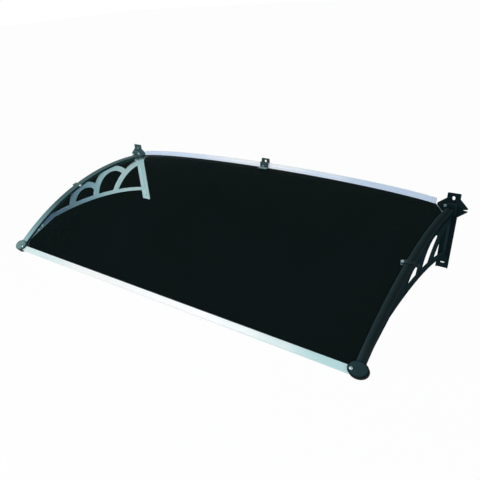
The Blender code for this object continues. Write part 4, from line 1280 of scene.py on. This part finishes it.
def makeCap(side, word, material):
    c = capCut
    radius, bend, slope = c["halfWidth"], c["round"], c["lineSlope"]
    profile = [(0, -c["depth"])]
    for k in range(c["roundSteps"] + 1):
        angle = math.pi / 2 * k / c["roundSteps"]
        profile.append((radius - bend * (1 - math.sin(angle)), -c["depth"] + bend * (1 - math.cos(angle))))
    profile += [(radius, c["lineFoot"]), (radius - c["lineDepth"], c["lineFoot"] + slope),
                (radius - c["lineDepth"], c["lineTop"] - slope), (radius, c["lineTop"]), (radius, 0)]
    for k in range(1, c["domeSteps"]):
        angle = math.pi / 2 * k / c["domeSteps"]
        profile.append((radius * math.cos(angle) ** c["fullness"], c["crown"] * math.sin(angle)))
    profile.append((0, c["crown"]))
    bm = newShape()
    base, stretch = capFrame(side), c["halfLength"] / radius
    addTurned(bm, profile, base, c["segments"], stretch)
    toCap = base.inverted()

    def shade(at):
        # the rim and everything below the shadow line are painted in shade
        x, y, z = toCap @ at
        outer = (math.hypot(x, y / stretch) / radius - c["rimFrom"]) / (1 - c["rimFrom"])
        return 1.0 if z < c["lineTop"] else max(0.0, min(outer, 1.0))

    paint(bm, "shadeMask", shade)
    cap = newPiece(word + "FrontCap", bm)
    recess, bore = screwCut["pan"][0] + c["recessPlay"], c["bore"]
    cutter = newShape()
    addTurned(cutter, [(0, -c["screwLength"]), (bore, -c["screwLength"]), (bore, 0), (recess, 0),
                       (recess, c["recessDepth"]), (recess + c["flare"], c["flareTop"]),
                       (recess + c["flare"], c["cutTop"]), (0, c["cutTop"])], capScrewFrame(side),
              screwCut["segments"])
    carve(cap, cutter)
    finishPiece(cap, material, word + "_front_cap", c["sharp"])


# middle clip; one bent strip of wall plate, shelf, leg and tongue
clipCut = {"half": 0.0150, "thickness": 0.0023, "topZ": 0.0270, "footZ": -0.0100, "tongue": 0.0155,
           "screwX": -0.0030, "outerBend": 0.0016, "shelfBend": 0.00256, "innerBend": 0.0006,
           "endRound": 0.0004, "roundSteps": 5, "topRound": 0.0035, "topSteps": 8, "blankDrop": 0.02,
           "cutFrom": -0.04, "cutTo": 0.01, "holeZ": 0.0178, "holeRadius": 0.0042, "holeSegments": 40,
           "sink": 0.0012, "sinkDepth": 0.0006, "sinkTop": 0.003, "flatBelow": 0.3, "edge": 0.0004,
           "bevelFrom": 50, "sharp": 35}


def clipLevels():
    base = sheetTop(0, awning["rearY"])
    return base + gap, base + rearBarCut["height"] + gap


def clipScrewFrame():
    middle = clipLevels()[0] + clipCut["thickness"] + screwCut["smallPan"][0] + 2 * gap
    return facingOut((clipCut["screwX"], awning["rearY"] - gap - clipCut["thickness"], middle))


def makeClip():
    c = clipCut
    half, thick, top, foot = c["half"], c["thickness"], c["topZ"], c["footZ"]
    tongueZ, shelfZ = clipLevels()
    leg = awning["rearY"] - gap
    end = leg - c["tongue"]
    endZ = sheetTop(0, end) + gap
    section = [(0, foot), (0, top), (-thick, top), (-thick, shelfZ + thick), (leg - thick, shelfZ + thick),
               (leg - thick, tongueZ + thick), (end, endZ + thick), (end, endZ), (leg, tongueZ),
               (leg, shelfZ), (-thick, shelfZ), (-thick, foot)]
    rounds = [*[c["endRound"]] * 3, c["outerBend"], c["shelfBend"], c["outerBend"], *[c["endRound"]] * 2,
              *[c["innerBend"]] * 3, c["endRound"]]
    bm = newShape()
    section = roundCorners(section, rounds, c["roundSteps"])
    addSweep(bm, [[(x, y, z) for y, z in section] for x in (-half, half)])
    clip = newPiece("middleClip", bm)
    plan = rectangle(-half, half, foot - c["blankDrop"], top)
    cutter = newShape()
    addPlate(cutter, [roundCorners(plan, [0, 0, c["topRound"], c["topRound"]], c["topSteps"])],
             lambda a, b, depth: (a, depth, b), c["cutFrom"], c["cutTo"], 0.0)
    carve(clip, cutter, "INTERSECT")
    hole, sink = c["holeRadius"], c["holeRadius"] + c["sink"]
    cutter = newShape()
    addTurned(cutter, [(0, -thick * 2), (hole, -thick * 2), (hole, -c["sinkDepth"]), (sink, c["sinkDepth"]),
                       (sink, c["sinkTop"]), (0, c["sinkTop"])], facingOut((0, -thick, c["holeZ"])),
              c["holeSegments"])
    carve(clip, cutter)
    bm = reopen(clip)
    # the tongue is painted light, through shadeMask and the clip's light shade colour
    paint(bm, "shadeMask", lambda at: float(at.y < leg - thick - c["outerBend"] / 2))
    closeAgain(clip, bm, c)
    finishPiece(clip, slateClip, "middle_clip", c["sharp"])


clipScrewLength = 0.006
clampScrewLength = clampCut["thickness"] + awning["sheetThickness"] + nutCut["height"] + 5 * gap
webScrews = {"behindFront": (0.0700, 0.0880), "belowArm": (0.0200, 0.0211), "grip": 0.6}
noseScrew = {"inward": 0.0155, "z": -0.0245}
# painted light and shade by side: cap, clamp, nose screw and clamp screw of each side, lighter on the left,
# with the right nose screw painted in shade
materialsForSideLight = {"left": (slateCap, slateArm, platedSteel, paleSteel),
                "right": (charcoalCap, charcoalArm, shadedSteel, platedSteel)}

makeClip()
makeScrew("clipScrew", clipScrewFrame(), "smallPan", clipScrewLength, "clip_screw", platedSteel)
for side, word, slotName in ((-1, "left", "slate_moulding"), (1, "right", "charcoal_moulding")):
    capForSideLight, clampForSideLight, noseForSideLight, clampScrewForSideLight = materialsForSideLight[word]
    makeCap(side, word, capForSideLight)
    makeClamp(side, word, clampForSideLight)
    makeNut(side, word)
    makeScrew(word + "ClampScrew", clampScrewFrame(side), "pan", clampScrewLength, word + "_clamp_screw",
              clampScrewForSideLight)
    makeScrew(word + "CapScrew", capScrewFrame(side), "pan", capCut["screwLength"], word + "_cap_screw",
              platedSteel)
    place = (side * (awning["postX"] - noseScrew["inward"]), awning["noseY"], noseScrew["z"])
    makeScrew(word + "NoseScrew", facingOut(place), "pan", nose["thickness"], word + "_nose_screw",
              noseForSideLight)
    for k, (back, drop) in enumerate(zip(webScrews["behindFront"], webScrews["belowArm"]), 1):
        y = awning["frontY"] + back
        place = (side * (armX(y) + web["offset"] - web["thickness"] / 2), y, arcZ(y) - drop)
        makeScrew("%sWebScrew%d" % (word, k), frameAt(place, (0, side, 0), (-side, 0, 0)), "webPan",
                  web["thickness"] * webScrews["grip"], "%s_web_screw_%d" % (word, k), paleSteel)
for name in ("front_gasket", "rear_gasket", "left_wall_seal", "right_wall_seal"):
    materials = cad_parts[name].data.materials
    materials.clear()
    materials.append(blackRubber)
print("caps, clamps, clip and fasteners done")


# camera: the photograph's viewpoint, angles in radians
view = {"place": (0.8195, -1.3267, 0.5421), "yaw": 0.64485, "pitch": 0.53914, "roll": -0.08033,
        "sensor": 36, "lens": 35.74, "shift": (0.0168, 0.0566), "clip": (0.05, 60)}


def makeCamera():
    yaw, pitch, roll = view["yaw"], view["pitch"], view["roll"]
    forward = Vector((-math.sin(yaw) * math.cos(pitch), math.cos(yaw) * math.cos(pitch), -math.sin(pitch)))
    levelRight = forward.cross(Vector((0, 0, 1))).normalized()
    levelUp = levelRight.cross(forward)
    right = levelRight * math.cos(roll) + levelUp * math.sin(roll)
    up = levelUp * math.cos(roll) - levelRight * math.sin(roll)
    data = bpy.data.cameras.new("photoCamera")
    data.sensor_width, data.lens = view["sensor"], view["lens"]
    data.shift_x, data.shift_y = view["shift"]
    data.clip_start, data.clip_end = view["clip"]
    camera = newObject("photoCamera", data)
    camera.matrix_world = Matrix((right, up, -forward)).transposed().to_4x4()
    camera.location = view["place"]
    scene.camera = camera


# studio: pale floor, even pale surroundings, soft lamps
studio = {"floorZ": -1.35, "floorHalf": 40.0, "floorColour": (255, 255, 255), "shadowShare": 0.10,
          "surroundings": 0.80, "surroundingsColour": (0.98, 0.99, 1, 1), "ceiling": 0.40,
          "ceilingFrom": 0.15, "ceilingTo": 0.75}
lamps = {
    "keyLamp": {"place": (-1.6, -2.4, 2.6), "target": (0, -0.3, -0.1), "size": 1.8, "power": 26},
    "sideLamp": {"place": (2.6, -1.6, 1.4), "target": (0, -0.3, -0.1), "size": 1.4, "power": 8},
}


def makeLamp(name):
    lamp = lamps[name]
    data = bpy.data.lights.new(name, "AREA")
    data.shape, data.size, data.energy = "DISK", lamp["size"], lamp["power"]
    light = newObject(name, data)
    light.location = lamp["place"]
    light.rotation_mode = "QUATERNION"
    light.rotation_quaternion = (Vector(lamp["target"]) - Vector(lamp["place"])).to_track_quat("-Z", "Y")


def seenDirectly(tree):
    # camera, mirror and glass rays see the white ground; through the smoked sheet the camera sees it dark
    path = addNode(tree, "ShaderNodeLightPath").outputs
    seen = calc(tree, "MAXIMUM", path["Is Camera Ray"],
                calc(tree, "MAXIMUM", path["Is Glossy Ray"], path["Is Transmission Ray"]))
    throughSheet = calc(tree, "MINIMUM", path["Transparent Depth"], 1.0)
    behindSheet = calc(tree, "MULTIPLY", path["Is Camera Ray"], throughSheet)
    return path, seen, behindSheet


def makeSurroundings():
    # mirrors see a greyer ceiling, so that upright metal doesn't wash out
    scene.world = bpy.data.worlds.new("studioWorld")
    scene.world.use_nodes = True
    tree = scene.world.node_tree
    tree.nodes.clear()
    path, seen, behindSheet = seenDirectly(tree)
    direction = axes(tree, addNode(tree, "ShaderNodeTexCoord").outputs["Generated"])
    height = fade(tree, direction["Z"], studio["ceilingFrom"], studio["ceilingTo"])
    mirrored = calc(tree, "MULTIPLY", height, path["Is Glossy Ray"])
    ground = mixColour(tree, mirrored, grey(1.0), grey(studio["ceiling"]))
    lights = [addNode(tree, "ShaderNodeBackground", {"Color": colour, "Strength": strength}).outputs[0]
              for colour, strength in ((studio["surroundingsColour"], studio["surroundings"]), (ground, 1.0),
                                       (grey(0.0), 0.0))]
    surface(tree, layered(tree, lights, (seen, behindSheet)), "ShaderNodeOutputWorld")


def makeFloor():
    material, tree = newMaterial("studioFloor")
    seen, behindSheet = seenDirectly(tree)[1:]
    paper = addNode(tree, "ShaderNodeBsdfDiffuse", {"Color": srgb(*studio["floorColour"])}).outputs[0]
    white, black = [addNode(tree, "ShaderNodeEmission", {"Color": grey(level), "Strength": level}).outputs[0]
                    for level in (1.0, 0.0)]
    unshadowed = calc(tree, "MULTIPLY", seen, 1 - studio["shadowShare"])
    surface(tree, layered(tree, (paper, white, black), (unshadowed, behindSheet)))
    half = studio["floorHalf"]
    corners = [(x, y, studio["floorZ"]) for x, y in rectangle(-half, half, -half, half)]
    mesh = bpy.data.meshes.new("studioFloor")
    mesh.from_pydata(corners, [], [(0, 1, 2, 3)])
    mesh.materials.append(material)
    newObject("studioFloor", mesh)


makeCamera()
for name in lamps:
    makeLamp(name)
makeSurroundings()
makeFloor()
scene.view_settings.view_transform = "Standard"
print("studio done")
